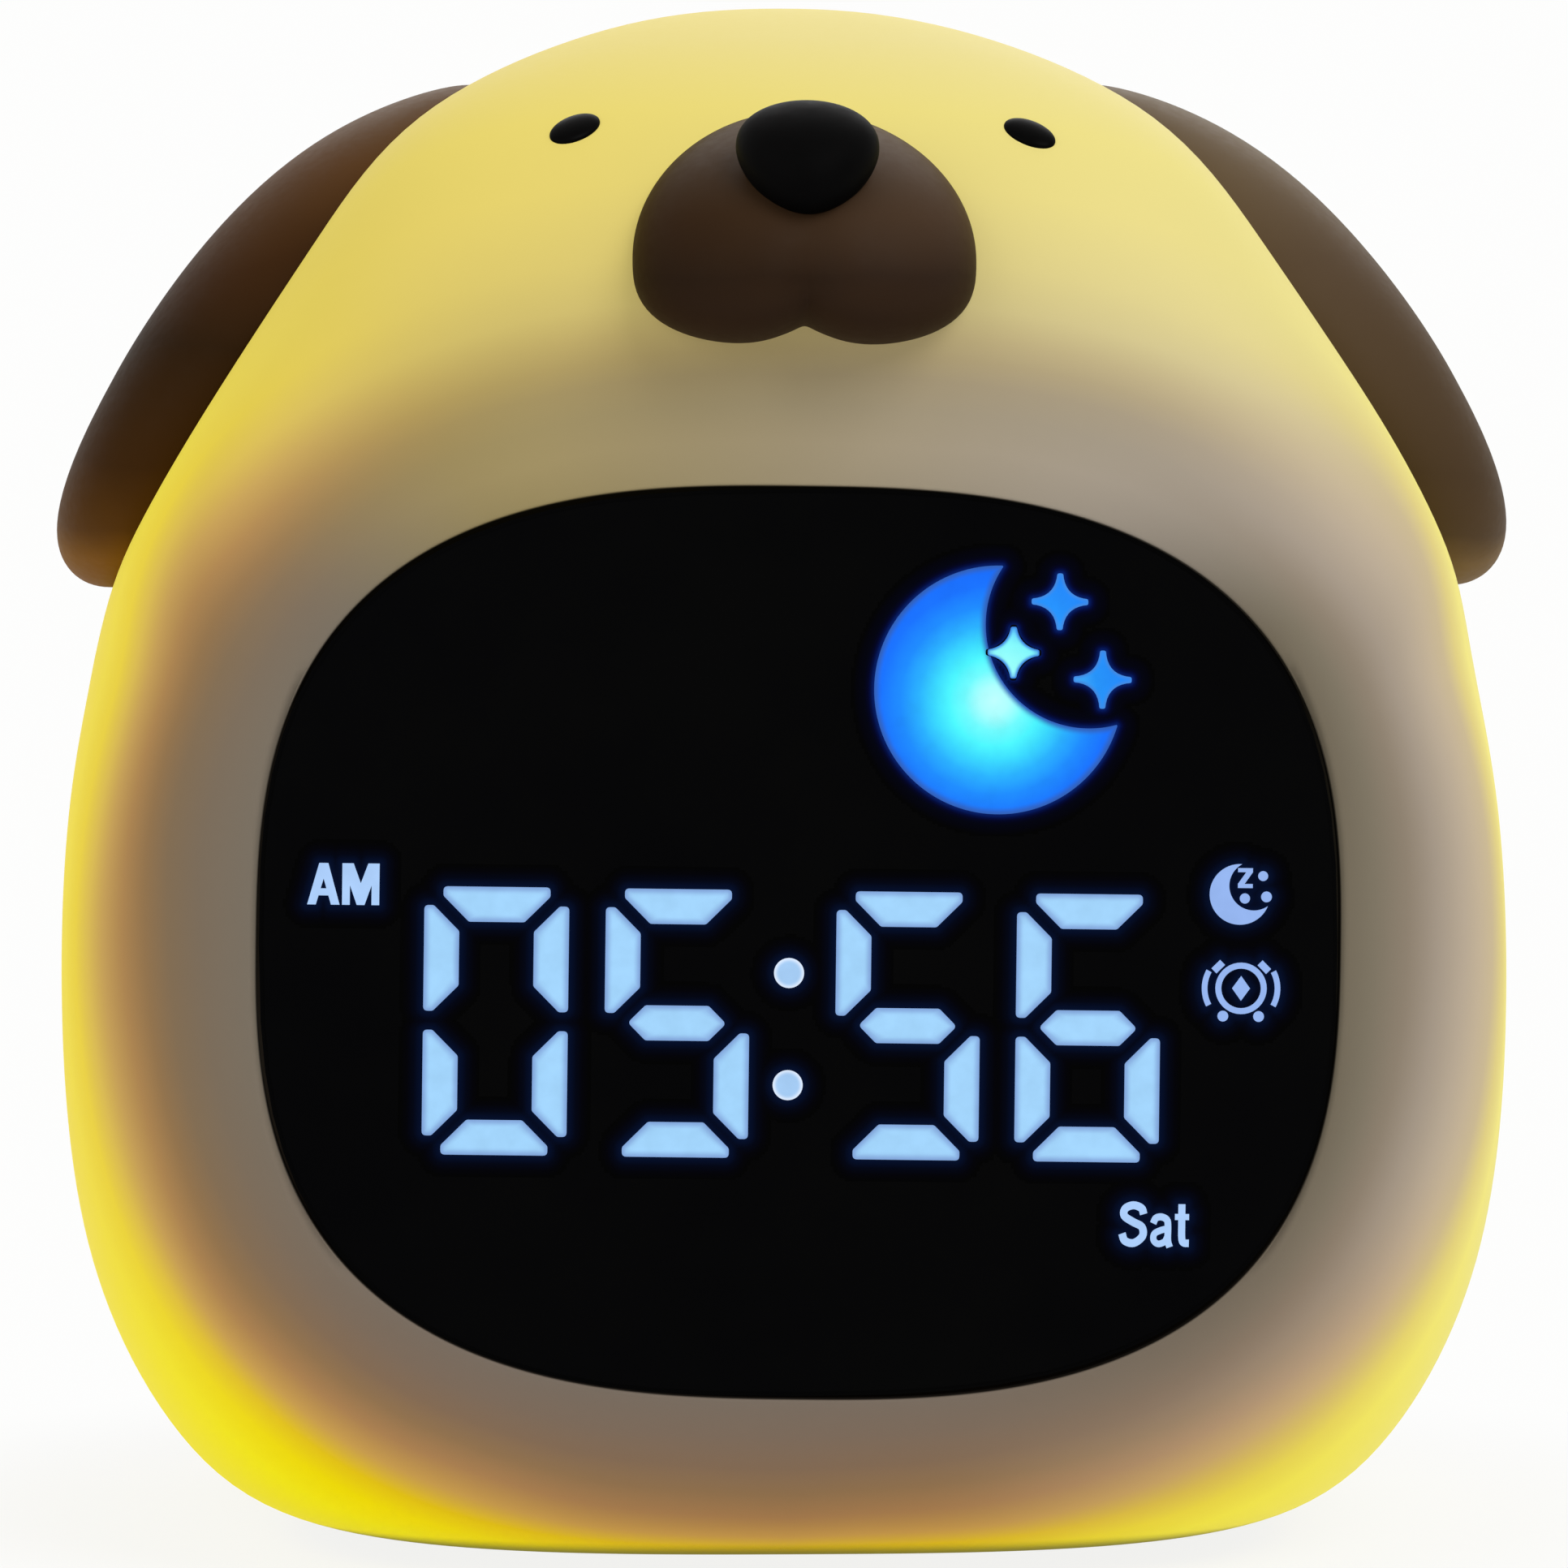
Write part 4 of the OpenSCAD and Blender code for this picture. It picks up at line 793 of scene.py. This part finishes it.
class Graph:
    """Short names for building the nodes of a material, or of the world."""

    def __init__(self, name, world=False):
        self.owner = (bpy.data.worlds if world else bpy.data.materials).new(name)
        self.owner.use_nodes = True
        self.tree = self.owner.node_tree
        self.tree.nodes.clear()
        self.out = self.node("ShaderNodeOutputWorld" if world else "ShaderNodeOutputMaterial")
        self.place = self.node("ShaderNodeTexCoord").outputs["Object"]

    def node(self, kind, **settings):
        n = self.tree.nodes.new(kind)
        for key, value in settings.items():
            setattr(n, key, value)
        return n

    def put(self, socket, value):
        if isinstance(value, bpy.types.NodeSocket):
            self.tree.links.new(value, socket)
        else:
            socket.default_value = value

    def math(self, operation, a, b=0.0, clamp=False):
        n = self.node("ShaderNodeMath", operation=operation, use_clamp=clamp)
        self.put(n.inputs[0], a)
        self.put(n.inputs[1], b)
        return n.outputs[0]

    add = partialmethod(math, "ADD")
    less = partialmethod(math, "SUBTRACT")
    times = partialmethod(math, "MULTIPLY")
    over = partialmethod(math, "DIVIDE")
    most = partialmethod(math, "MAXIMUM")
    power = partialmethod(math, "POWER")

    def length(self, a, b):
        return self.math("SQRT", self.add(self.times(a, a), self.times(b, b)))

    def turned(self, a, b, angle):
        """Both coordinates, in axes turned by an angle."""
        c, s = math.cos(angle), math.sin(angle)
        return self.add(self.times(a, c), self.times(b, s)), self.less(self.times(b, c), self.times(a, s))

    def mix(self, share, a, b, blend="MIX"):
        n = self.node("ShaderNodeMix", data_type="RGBA", blend_type=blend)
        self.put(n.inputs[0], share)
        self.put(n.inputs[6], a)
        self.put(n.inputs[7], b)
        return n.outputs[2]

    def grey(self, value):
        """A grey of that value, as a colour."""
        n = self.node("ShaderNodeCombineColor")
        for k in range(3):
            self.put(n.inputs[k], value)
        return n.outputs[0]

    def dimmed(self, colour, share):
        return self.mix(1.0, colour, self.grey(share), "MULTIPLY")

    def colours(self, value, stops, low=0.0, high=1.0):
        """The colour between stops for a value from 0 to 1. The stops' places run from low to high."""
        n = self.node("ShaderNodeValToRGB")
        self.put(n.inputs[0], value)
        elements = n.color_ramp.elements
        while len(elements) < len(stops):
            elements.new(0.5)
        for element, (at, rgb) in zip(elements, stops.items()):
            element.position = (at - low) / (high - low)
            element.color = linear(*rgb)
        return n.outputs[0]

    def spread(self, value, low, high, to_low=0.0, to_high=1.0, smooth=False):
        n = self.node("ShaderNodeMapRange", interpolation_type="SMOOTHSTEP" if smooth else "LINEAR")
        for k, v in enumerate((value, low, high, to_low, to_high)):
            self.put(n.inputs[k], v)
        return n.outputs[0]

    def noise(self, scale, detail=2.0):
        n = self.node("ShaderNodeTexNoise")
        self.put(n.inputs["Vector"], self.place)
        n.inputs["Scale"].default_value = scale
        n.inputs["Detail"].default_value = detail
        return n.outputs["Fac"]

    def bump(self, height, strength, distance):
        n = self.node("ShaderNodeBump")
        n.inputs["Strength"].default_value = strength
        n.inputs["Distance"].default_value = distance
        self.put(n.inputs["Height"], height)
        return n.outputs[0]

    def surface(self, **sockets):
        n = self.node("ShaderNodeBsdfPrincipled")
        for key, value in sockets.items():
            self.put(n.inputs[key.replace("_", " ")], value)
        return self.made(n.outputs[0])

    def shader(self, kind, colour, **more):
        n = self.node(kind)
        for key, value in {"Color": colour, **more}.items():
            self.put(n.inputs[key], value)
        return n.outputs[0]

    def blend(self, share, a, b):
        n = self.node("ShaderNodeMixShader")
        for socket, value in zip(n.inputs, (share, a, b)):
            self.put(socket, value)
        return n.outputs[0]

    def seen(self):
        """1 where the camera looks, also by way of gloss or glass."""
        path = self.node("ShaderNodeLightPath").outputs
        return self.most(self.most(path["Is Camera Ray"], path["Is Glossy Ray"]), path["Is Transmission Ray"])

    def made(self, shader):
        self.tree.links.new(shader, self.out.inputs[0])
        return self.owner


def moulded(name, low, high, roughness, scale, grain, speck=900.0, specular=0.5, metallic=0.0):
    """A finish with two close colours, a slow change of tone and a fine grain in colour, gloss and height."""
    g = Graph(name)
    slow, fine = g.noise(scale, 3.0), g.noise(speck, 4.0)
    tone = g.add(g.times(slow, 0.7), g.times(fine, 0.3))
    return g.surface(
        Base_Color=g.colours(tone, {0.3: low, 0.7: high}),
        Roughness=g.spread(fine, 0.2, 0.8, roughness - 0.06, roughness + 0.06),
        Metallic=metallic,
        Normal=g.bump(fine, grain, 0.0001),
        Specular_IOR_Level=specular,
    )


def wear(material, *pieces):
    for obj in pieces:
        obj.data.materials.clear()
        obj.data.materials.append(material)


# Colours of the skin against the distance from the window, in widths of the dark band round it.
# They are painted light: the glow from inside, and in the dark band the painted shadow of the display
# housing. PALE, on the right, is paler with painted light from the lamp at the right
WARM = {
    0: (122, 113, 100), 0.25: (128, 113, 95), 0.45: (138, 116, 89), 0.62: (156, 123, 83),
    0.8: (182, 140, 86), 1.0: (208, 167, 92), 1.2: (230, 197, 86), 1.45: (246, 220, 66),
    1.8: (252, 231, 76), 2.6: (252, 232, 94),
}
PALE = {
    0: (110, 101, 85), 0.18: (126, 117, 100), 0.35: (144, 131, 114), 0.55: (168, 154, 138),
    0.8: (189, 173, 152), 1.0: (201, 183, 155), 1.2: (208, 189, 150), 1.45: (231, 213, 134),
    1.8: (250, 238, 136), 2.6: (246, 236, 150),
}
CROWN = {
    0: (155, 145, 122), 0.27: (164, 153, 128), 0.5: (163, 152, 125), 0.7: (167, 154, 122),
    0.85: (178, 163, 121), 1.0: (192, 177, 126), 1.2: (210, 197, 134), 1.5: (222, 209, 134),
    2.0: (232, 219, 132), 2.6: (236, 224, 132), 3.6: (234, 223, 148),
}
LOW = {
    0: (122, 110, 98), 0.25: (128, 110, 94), 0.45: (136, 111, 88), 0.62: (152, 120, 84),
    0.8: (180, 136, 88), 1.0: (213, 167, 86), 1.2: (240, 206, 22), 1.45: (252, 232, 0),
    1.8: (255, 243, 14), 2.6: (255, 243, 46),
}
SKIN_REACH = 4.0
# Painted light: the crown is tinted yellower on the left and whiter on the right, where the lamp at the right
# falls
CROWN_TINT_LEFT, CROWN_TINT_RIGHT = (0.97, 0.88, 0.54, 1), (1.05, 1.06, 1.34, 1)
# Width of the band in mm: what is added straight out to the sides, and taken off at the lower corners
BAND, BAND_SIDES, BAND_LOW, BAND_LOW_RIGHT = 11.0, 5.7, 0.9, 0.8
# Depths behind the window in mm between which the light evens out, and the differences that stay
EVEN_FROM, EVEN_TO, EVEN_LEFT = 50.0, 85.0, 0.2
# Where the colours give way to one another: cosines of the way out from the window's centre, then sines
WARM_TO_PALE, TINT_ACROSS, LOW_TO_PALE = (-0.55, 0.75), (-0.6, 0.8), (0.2, 0.8, 0.0, 0.42)
TO_CROWN, TO_LOW = (0.53, 0.9), (-0.25, -0.8)


def from_window(g):
    """Where a point of the skin lies from the window.

    Gives the distance from the window's outline in its plane, the depth behind that plane, and the
    cosine and sine of the way out from the window's centre.
    """
    sep = g.node("ShaderNodeSeparateXYZ")
    g.put(sep.inputs[0], g.place)
    x, y, z = (g.times(sep.outputs[k], 1 / MM) for k in range(3))
    dy, dz = g.add(y, display_depth(WINDOW_Z)), g.less(z, WINDOW_Z)
    v, behind = g.turned(dz, dy, TILT)
    x, v = g.turned(x, v, ASKEW)
    behind = g.most(behind, 0.0)
    sx = g.power(g.over(g.math("ABSOLUTE", x), WINDOW_W / 2), WINDOW_POWER)
    sv = g.power(g.over(g.math("ABSOLUTE", v), WINDOW_H / 2), WINDOW_POWER)
    share = g.most(g.power(g.add(sx, sv), 1 / WINDOW_POWER), 0.2)
    length = g.length(x, v)
    out = g.most(g.less(length, g.over(length, share)), 0.0)
    cos_way, sin_way = (g.over(part, g.most(length, 1.0)) for part in (x, v))
    return out, behind, cos_way, sin_way


def skin_material():
    """Silicone lit from inside.

    The opaque display housing keeps the light from the silicone round the window, so the colour
    follows the distance from the window. The glow is painted as emission, and the housing's shadow and
    the lamps' light are painted into the colour.
    follows the distance from the window.
    """
    g = Graph("glowing_silicone")
    out, behind, cos_way, sin_way = from_window(g)
    # Towards the back the skin is lit more evenly, so the differences left to right and up and down fade
    even = g.spread(behind, EVEN_FROM, EVEN_TO, 1.0, EVEN_LEFT, smooth=True)
    cos_way, sin_way = g.times(cos_way, even), g.times(sin_way, even)
    # The dark band, a painted shadow of the housing, is widest straight out to the sides, and narrowest
    # towards the lower corners
    sideways = g.math("ABSOLUTE", cos_way)
    band = g.add(BAND, g.times(g.power(sideways, 10.0), BAND_SIDES))
    low_corner = g.most(g.times(g.times(sin_way, sideways), -2.0), 0.0)
    rightwards = g.times(g.most(cos_way, 0.0), BAND_LOW_RIGHT)
    band = g.less(band, g.times(low_corner, g.add(BAND_LOW, rightwards)))
    wobble = g.times(g.less(g.noise(45.0, 1.0), 0.5), 0.12)
    bands = g.add(g.over(g.length(out, behind), band), wobble)
    t = g.over(bands, SKIN_REACH)
    warm, pale, crown, low = (g.colours(t, stops, 0, SKIN_REACH) for stops in (WARM, PALE, CROWN, LOW))
    sides = g.mix(g.spread(cos_way, *WARM_TO_PALE, smooth=True), warm, pale)
    tint = g.mix(g.spread(cos_way, *TINT_ACROSS), CROWN_TINT_LEFT, CROWN_TINT_RIGHT)
    top = g.mix(1.0, crown, tint, "MULTIPLY")
    base = g.mix(g.spread(cos_way, *LOW_TO_PALE, smooth=True), low, pale)
    colour = g.mix(g.spread(sin_way, *TO_CROWN, smooth=True), sides, top)
    colour = g.mix(g.spread(sin_way, *TO_LOW, smooth=True), colour, base)
    # Painted shade: the cut edge round the window, which lies on the black housing, and the underside, which
    # faces the floor and through which no light comes, are darkened
    edge = g.most(g.spread(out, 0.02, 0.14, 0.04, 1.0), g.spread(behind, 1.9, 2.6), clamp=True)
    normal = g.node("ShaderNodeSeparateXYZ")
    g.put(normal.inputs[0], g.node("ShaderNodeTexCoord").outputs["Normal"])
    under = g.spread(normal.outputs[2], -0.985, -0.93, 0.3, 1.0, smooth=True)
    colour = g.dimmed(colour, g.times(edge, under))
    fine = g.noise(1500.0, 3.0)
    # Painted glow: a share of the colour, larger away from the window, is given as emission
    glow = g.spread(bands, 0.15, 1.5, 0.12, 0.42, smooth=True)
    return g.surface(
        Base_Color=g.dimmed(colour, g.less(1.0, glow)),
        Roughness=g.spread(fine, 0.2, 0.8, 0.55, 0.65),
        Specular_IOR_Level=0.02,
        Emission_Color=g.dimmed(colour, glow),
        Emission_Strength=1.0,
        Normal=g.bump(fine, 0.06, 0.00005),
    )


SIDE_REACH = 14.0


def brown_silicone(name, low, high, left, right):
    """Matt brown silicone. Its colour follows the height from low to high, and differs left and right."""
    g = Graph(name)
    sep = g.node("ShaderNodeSeparateXYZ")
    g.put(sep.inputs[0], g.place)
    wobble = g.spread(g.noise(70.0, 2.0), 0.3, 0.7, -0.03, 0.03)
    # Painted light: the colour by height and side stands for light from above and from the right
    height = g.add(g.spread(sep.outputs[2], low * MM, high * MM), wobble)
    sides = [g.colours(height, stops, low, high) for stops in (left, right)]
    reach = SIDE_REACH * MM
    fine = g.noise(1400.0, 3.0)
    return g.surface(
        Base_Color=g.mix(g.spread(sep.outputs[0], -reach, reach, smooth=True), *sides),
        Roughness=g.spread(fine, 0.2, 0.8, 0.5, 0.62),
        Specular_IOR_Level=0.04,
        Normal=g.bump(fine, 0.08, 0.00005),
    )


# Colours of the brown silicone against the height in mm, with painted light in them: amber light comes
# through the ears' lower ends, the tops are lighter where light falls from above, and the right side is
# lighter and greyer where the lamp at the right falls
EAR_LEFT = {
    70: (122, 80, 12), 72.5: (84, 52, 9), 77: (58, 34, 6), 86: (41, 24, 5),
    92: (56, 33, 12), 99: (82, 54, 27), 105: (92, 68, 44),
}
EAR_RIGHT = {
    70: (116, 90, 52), 72.5: (82, 63, 41), 77: (74, 57, 38), 86: (80, 63, 44),
    92: (86, 69, 51), 99: (100, 83, 62), 105: (106, 90, 70),
}
MUZZLE_LEFT = {
    82: (56, 40, 26), 88: (50, 34, 22), 92: (36, 22, 9), 96: (44, 26, 8), 102: (58, 40, 20),
}
MUZZLE_RIGHT = {
    82: (56, 40, 26), 88: (50, 34, 20), 92: (45, 31, 21), 96: (70, 52, 37), 102: (84, 67, 52),
}
skin_mat = skin_material()
ear_mat = brown_silicone("brown_silicone", 70, 105, EAR_LEFT, EAR_RIGHT)
muzzle_mat = brown_silicone("brown_silicone_muzzle", 82, 102, MUZZLE_LEFT, MUZZLE_RIGHT)
nose_mat = moulded("black_silicone", (4, 4, 4), (8, 7, 7), 0.55, 90.0, 0.08, specular=0.015)
eye_mat = moulded("eye_black", (4, 4, 4), (7, 6, 6), 0.35, 300.0, 0.02, specular=0.015)
lens_mat = moulded("smoked_lens", (1, 1, 2), (3, 3, 3), 0.3, 60.0, 0.0, speck=200.0, specular=0.02)
wear(skin_mat, skin)
wear(ear_mat, ear_left, ear_right)
wear(muzzle_mat, muzzle)
wear(nose_mat, nose)
wear(eye_mat, *eyes)
wear(lens_mat, star_shade)


def lit(name, edge, middle):
    """A lit film behind the smoked lens, bluer at its outline.

    middle is one colour, or colours against the distance in mm from the lamp.
    """
    g = Graph(name)
    share = g.node("ShaderNodeAttribute", attribute_name="inside").outputs["Fac"]
    if isinstance(middle, dict):
        far, reach = g.node("ShaderNodeVectorMath", operation="DISTANCE"), max(middle)
        g.put(far.inputs[0], g.place)
        far.inputs[1].default_value = Vector(on_display(*MOON_LAMP, LENS_RECESS).tolist()) * MM
        middle = g.colours(g.over(far.outputs["Value"], reach * MM), middle, 0, reach)
    else:
        middle = linear(*middle)
    colour = g.mix(g.spread(share, 0.0, 1.0, smooth=True), linear(*edge), middle)
    shimmer = g.spread(g.noise(700.0, 2.0), 0.3, 0.7, 0.96, 1.04)
    return g.surface(
        Base_Color=(0.002, 0.002, 0.004, 1), Roughness=0.35, Specular_IOR_Level=0.0,
        Emission_Color=g.dimmed(colour, shimmer), Emission_Strength=1.0,
    )


MOON_LAMP = (13.45, 17.05)
MOON_STOPS = {
    0: (190, 255, 255), 1.0: (172, 255, 255), 2.1: (112, 252, 255), 3.2: (76, 246, 255),
    4.2: (58, 218, 255), 5.3: (42, 178, 255), 6.6: (30, 140, 255), 8.0: (25, 115, 255),
    11.0: (24, 104, 252),
}
STAR_STOPS = {
    0: (165, 255, 250), 3.0: (150, 255, 252), 4.2: (130, 248, 252), 5.6: (70, 180, 252),
    7.2: (38, 149, 252), 9.0: (36, 138, 250),
}
SIGN_BLUE, WORD_BLUE = (150, 182, 240), (172, 206, 250)
wear(lit("lit_blue_white", (132, 168, 220), (163, 213, 252)), digits)
wear(lit("lit_dot", (222, 236, 255), (165, 204, 244)), colon)
wear(lit("lit_sign", SIGN_BLUE, SIGN_BLUE), signs)
wear(lit("lit_word", WORD_BLUE, WORD_BLUE), word_half, word_day)
wear(lit("lit_moon", (50, 98, 186), MOON_STOPS), moon)
wear(lit("lit_star", (66, 138, 226), STAR_STOPS), stars)


def glow_material(name, stops):
    """The lens where it scatters the light of a lit shape.

    The stops run from 0 where the light ends to 1 at the outline.
    """
    g = Graph(name)
    share = g.node("ShaderNodeAttribute", attribute_name="glow").outputs["Fac"]
    return g.surface(
        Base_Color=linear(1, 1, 1), Roughness=0.3, Specular_IOR_Level=0.015,
        Emission_Color=g.colours(share, {0: (0, 0, 0), **stops}), Emission_Strength=1.0,
    )


MOON_GLOW = {
    0.25: (0, 0, 8), 0.48: (0, 1, 13), 0.59: (0, 1, 20), 0.71: (0, 2, 34), 0.82: (0, 9, 60),
    1.0: (5, 32, 108),
}
SMALL_GLOW = {0.3: (0, 0, 5), 0.6: (0, 3, 18), 1.0: (2, 14, 44)}
wear(glow_material("lens_glow", MOON_GLOW), film)
wear(glow_material("lens_glow_small", SMALL_GLOW), small_film)


def board_material(name, mask, copper):
    """Solder mask over thin copper tracks: the tracks show as slightly lighter, raised bands."""
    g = Graph(name)
    track = g.node("ShaderNodeTexVoronoi", feature="DISTANCE_TO_EDGE", distance="CHEBYCHEV")
    g.put(track.inputs["Vector"], g.place)
    track.inputs["Scale"].default_value = 420.0
    line = g.spread(track.outputs["Distance"], 0.05, 0.11, 1.0, 0.0, smooth=True)
    tone = g.spread(g.noise(300.0), 0.3, 0.7, 0.9, 1.1)
    colour = g.dimmed(g.mix(line, linear(*mask), linear(*copper)), tone)
    return g.surface(Base_Color=colour, Roughness=0.28, Normal=g.bump(line, 0.3, 0.00004))


# The hard pieces' finishes: the CAD nodes that wear it, two close colours, roughness, scale of the slow
# change of tone, strength of the grain, and where they differ the scale of the grain, gloss and metal
FINISHES = {
    "cover_cream": ("rear_cover", (226, 214, 186), (236, 226, 202), 0.42, 35, 0.25, 2600, 0.35),
    "key_amber": ("", (214, 176, 104), (226, 190, 118), 0.36, 120, 0.12, 2200, 0.4),
    "key_print": ("", (70, 46, 22), (82, 54, 28), 0.6, 200, 0.0, 900, 0.2),
    "dark_moulding": (
        "key_switches speaker_frame battery_holder board_chips",
        (22, 22, 24), (34, 34, 36), 0.45, 120, 0.15, 1800, 0.35),
    "black_housing": ("display_housing", (16, 16, 17), (26, 26, 28), 0.5, 80, 0.2, 1500, 0.3),
    "foot_rubber": ("foot_ring", (196, 188, 160), (212, 204, 178), 0.7, 60, 0.3, 1600, 0.2),
    "milky_core": ("diffuser_core", (244, 240, 226), (250, 247, 236), 0.55, 50, 0.08, 900, 0.3),
    "clear_guide": (
        "digit_light_guides legend_light_guides", (196, 220, 250), (214, 232, 255), 0.12, 200, 0.0),
    "blue_guide": (
        "moon_light_guide star_light_guides", (90, 165, 250), (120, 190, 255), 0.12, 200, 0.0),
    "bright_zinc": ("usb_socket", (170, 172, 176), (206, 208, 212), 0.28, 400, 0.25, 3000, 0.5, 1.0),
    "nickel_magnet": ("speaker_magnet", (140, 140, 138), (172, 171, 168), 0.3, 160, 0.15, 1400, 0.5, 1.0),
    "cone_pulp": ("speaker_cone", (48, 44, 40), (78, 72, 66), 0.85, 500, 0.9, 2800, 0.1),
    "cell_sleeve": ("battery_cell", (38, 92, 160), (52, 110, 182), 0.28, 90, 0.1),
    "cable_film": ("display_ribbon", (222, 214, 190), (236, 230, 212), 0.3, 300, 0.05),
    "red_wire": ("battery_lead", (160, 30, 24), (186, 42, 34), 0.4, 300, 0.1),
    "black_wire": ("light_lead speaker_lead", (22, 22, 23), (34, 34, 36), 0.4, 300, 0.1),
    "led_body": ("display_leds night_leds", (238, 226, 160), (250, 240, 190), 0.25, 600, 0.0),
    "socket_ivory": ("ribbon_sockets lead_sockets", (226, 220, 200), (240, 236, 220), 0.4, 200, 0.12),
}
green_board = board_material("green_board", (18, 74, 42), (34, 104, 60))
white_board = board_material("white_board", (228, 228, 222), (240, 240, 236))
finish = {}
dress = {
    "display_lens": lens_mat, "display_board": green_board, "main_board": green_board,
    "light_board": white_board, "silicone_skin": skin_mat, "ear_left": ear_mat, "ear_right": ear_mat,
    "muzzle": muzzle_mat, "nose": nose_mat, "eye_left": eye_mat, "eye_right": eye_mat,
}
for name, (wearers, *look) in FINISHES.items():
    finish[name] = moulded(name, *look)
    dress.update(dict.fromkeys(wearers.split(), finish[name]))
wear(finish["key_print"], *key_prints)
for name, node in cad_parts.items():
    if name.endswith("_screws"):
        wear(finish["bright_zinc"], node)
    elif name in dress:
        wear(dress[name], node)
    else:
        wear(finish["key_amber" if name.startswith("key_") else "dark_moulding"], node)

# ---------- camera, floor and light ----------
scene = bpy.context.scene
scene.view_settings.view_transform = "Standard"
CAMERA_AT, CAMERA_AIM, CAMERA_LENS = (-27.9, -897.4, 118.1), (0.32, 0, 53.33), 282.2


def stand(name, data, place, aim):
    """A camera or lamp at a place in metres, turned to face another."""
    obj = placed(name, data)
    obj.location = place
    obj.rotation_euler = (aim - obj.location).to_track_quat("-Z", "Y").to_euler()
    return obj


camera_data = bpy.data.cameras.new("camera")
camera_data.sensor_width = 36
camera_data.lens = CAMERA_LENS
camera_data.clip_start = 0.05
scene.camera = stand("camera", camera_data, Vector(CAMERA_AT) * MM, Vector(CAMERA_AIM) * MM)

for name, place, size, power in (
    ("key", (0.55, -0.75, 0.9), 0.7, 7),
    ("fill", (-0.8, -0.7, 0.5), 0.8, 3),
    ("back", (0.1, 0.9, 0.7), 0.8, 4),
):
    data = bpy.data.lights.new(name, "AREA")
    data.size = size
    data.energy = power
    stand(name, data, Vector(place), Vector((0, 0, 0.05)))

WHITE = (0.985, 0.985, 0.98, 1)
g = Graph("studio", world=True)
fill_light = g.shader("ShaderNodeBackground", (0.8, 0.8, 0.8, 1), Strength=0.55)
scene.world = g.made(g.blend(g.seen(), fill_light, g.shader("ShaderNodeBackground", WHITE, Strength=1.0)))

SHADE, FLOOR_LIGHT, FLOOR_HALF = 0.1, 1.25, 3
NEAR_REACH, FAR_REACH = 0.05, 0.085
corners = [(-1, -1, 0), (1, -1, 0), (1, 1, 0), (-1, 1, 0)]
floor_mesh = bpy.data.meshes.new("floor")
floor_mesh.from_pydata([Vector(corner) * FLOOR_HALF for corner in corners], [], [(0, 1, 2, 3)])
floor = placed("floor", floor_mesh)
g = Graph("pale_floor")
paper = g.shader("ShaderNodeBsdfDiffuse", g.grey(g.spread(g.noise(3.0), 0.3, 0.7, 0.86, 0.88)))
# What the camera sees: white, and near the object a little diffuse light in it, so that the shadow shows
shaded = g.shader("ShaderNodeBsdfDiffuse", (SHADE, SHADE, SHADE, 1))
dull_white = g.shader("ShaderNodeEmission", (*[v - SHADE * FLOOR_LIGHT for v in WHITE[:3]], 1))
near = g.node("ShaderNodeAddShader")
g.put(near.inputs[0], shaded)
g.put(near.inputs[1], dull_white)
distance = g.node("ShaderNodeVectorMath", operation="LENGTH")
g.put(distance.inputs[0], g.place)
fade = g.spread(distance.outputs["Value"], NEAR_REACH, FAR_REACH, smooth=True)
shown = g.blend(fade, near.outputs[0], g.shader("ShaderNodeEmission", WHITE))
wear(g.made(g.blend(g.seen(), paper, shown)), floor)
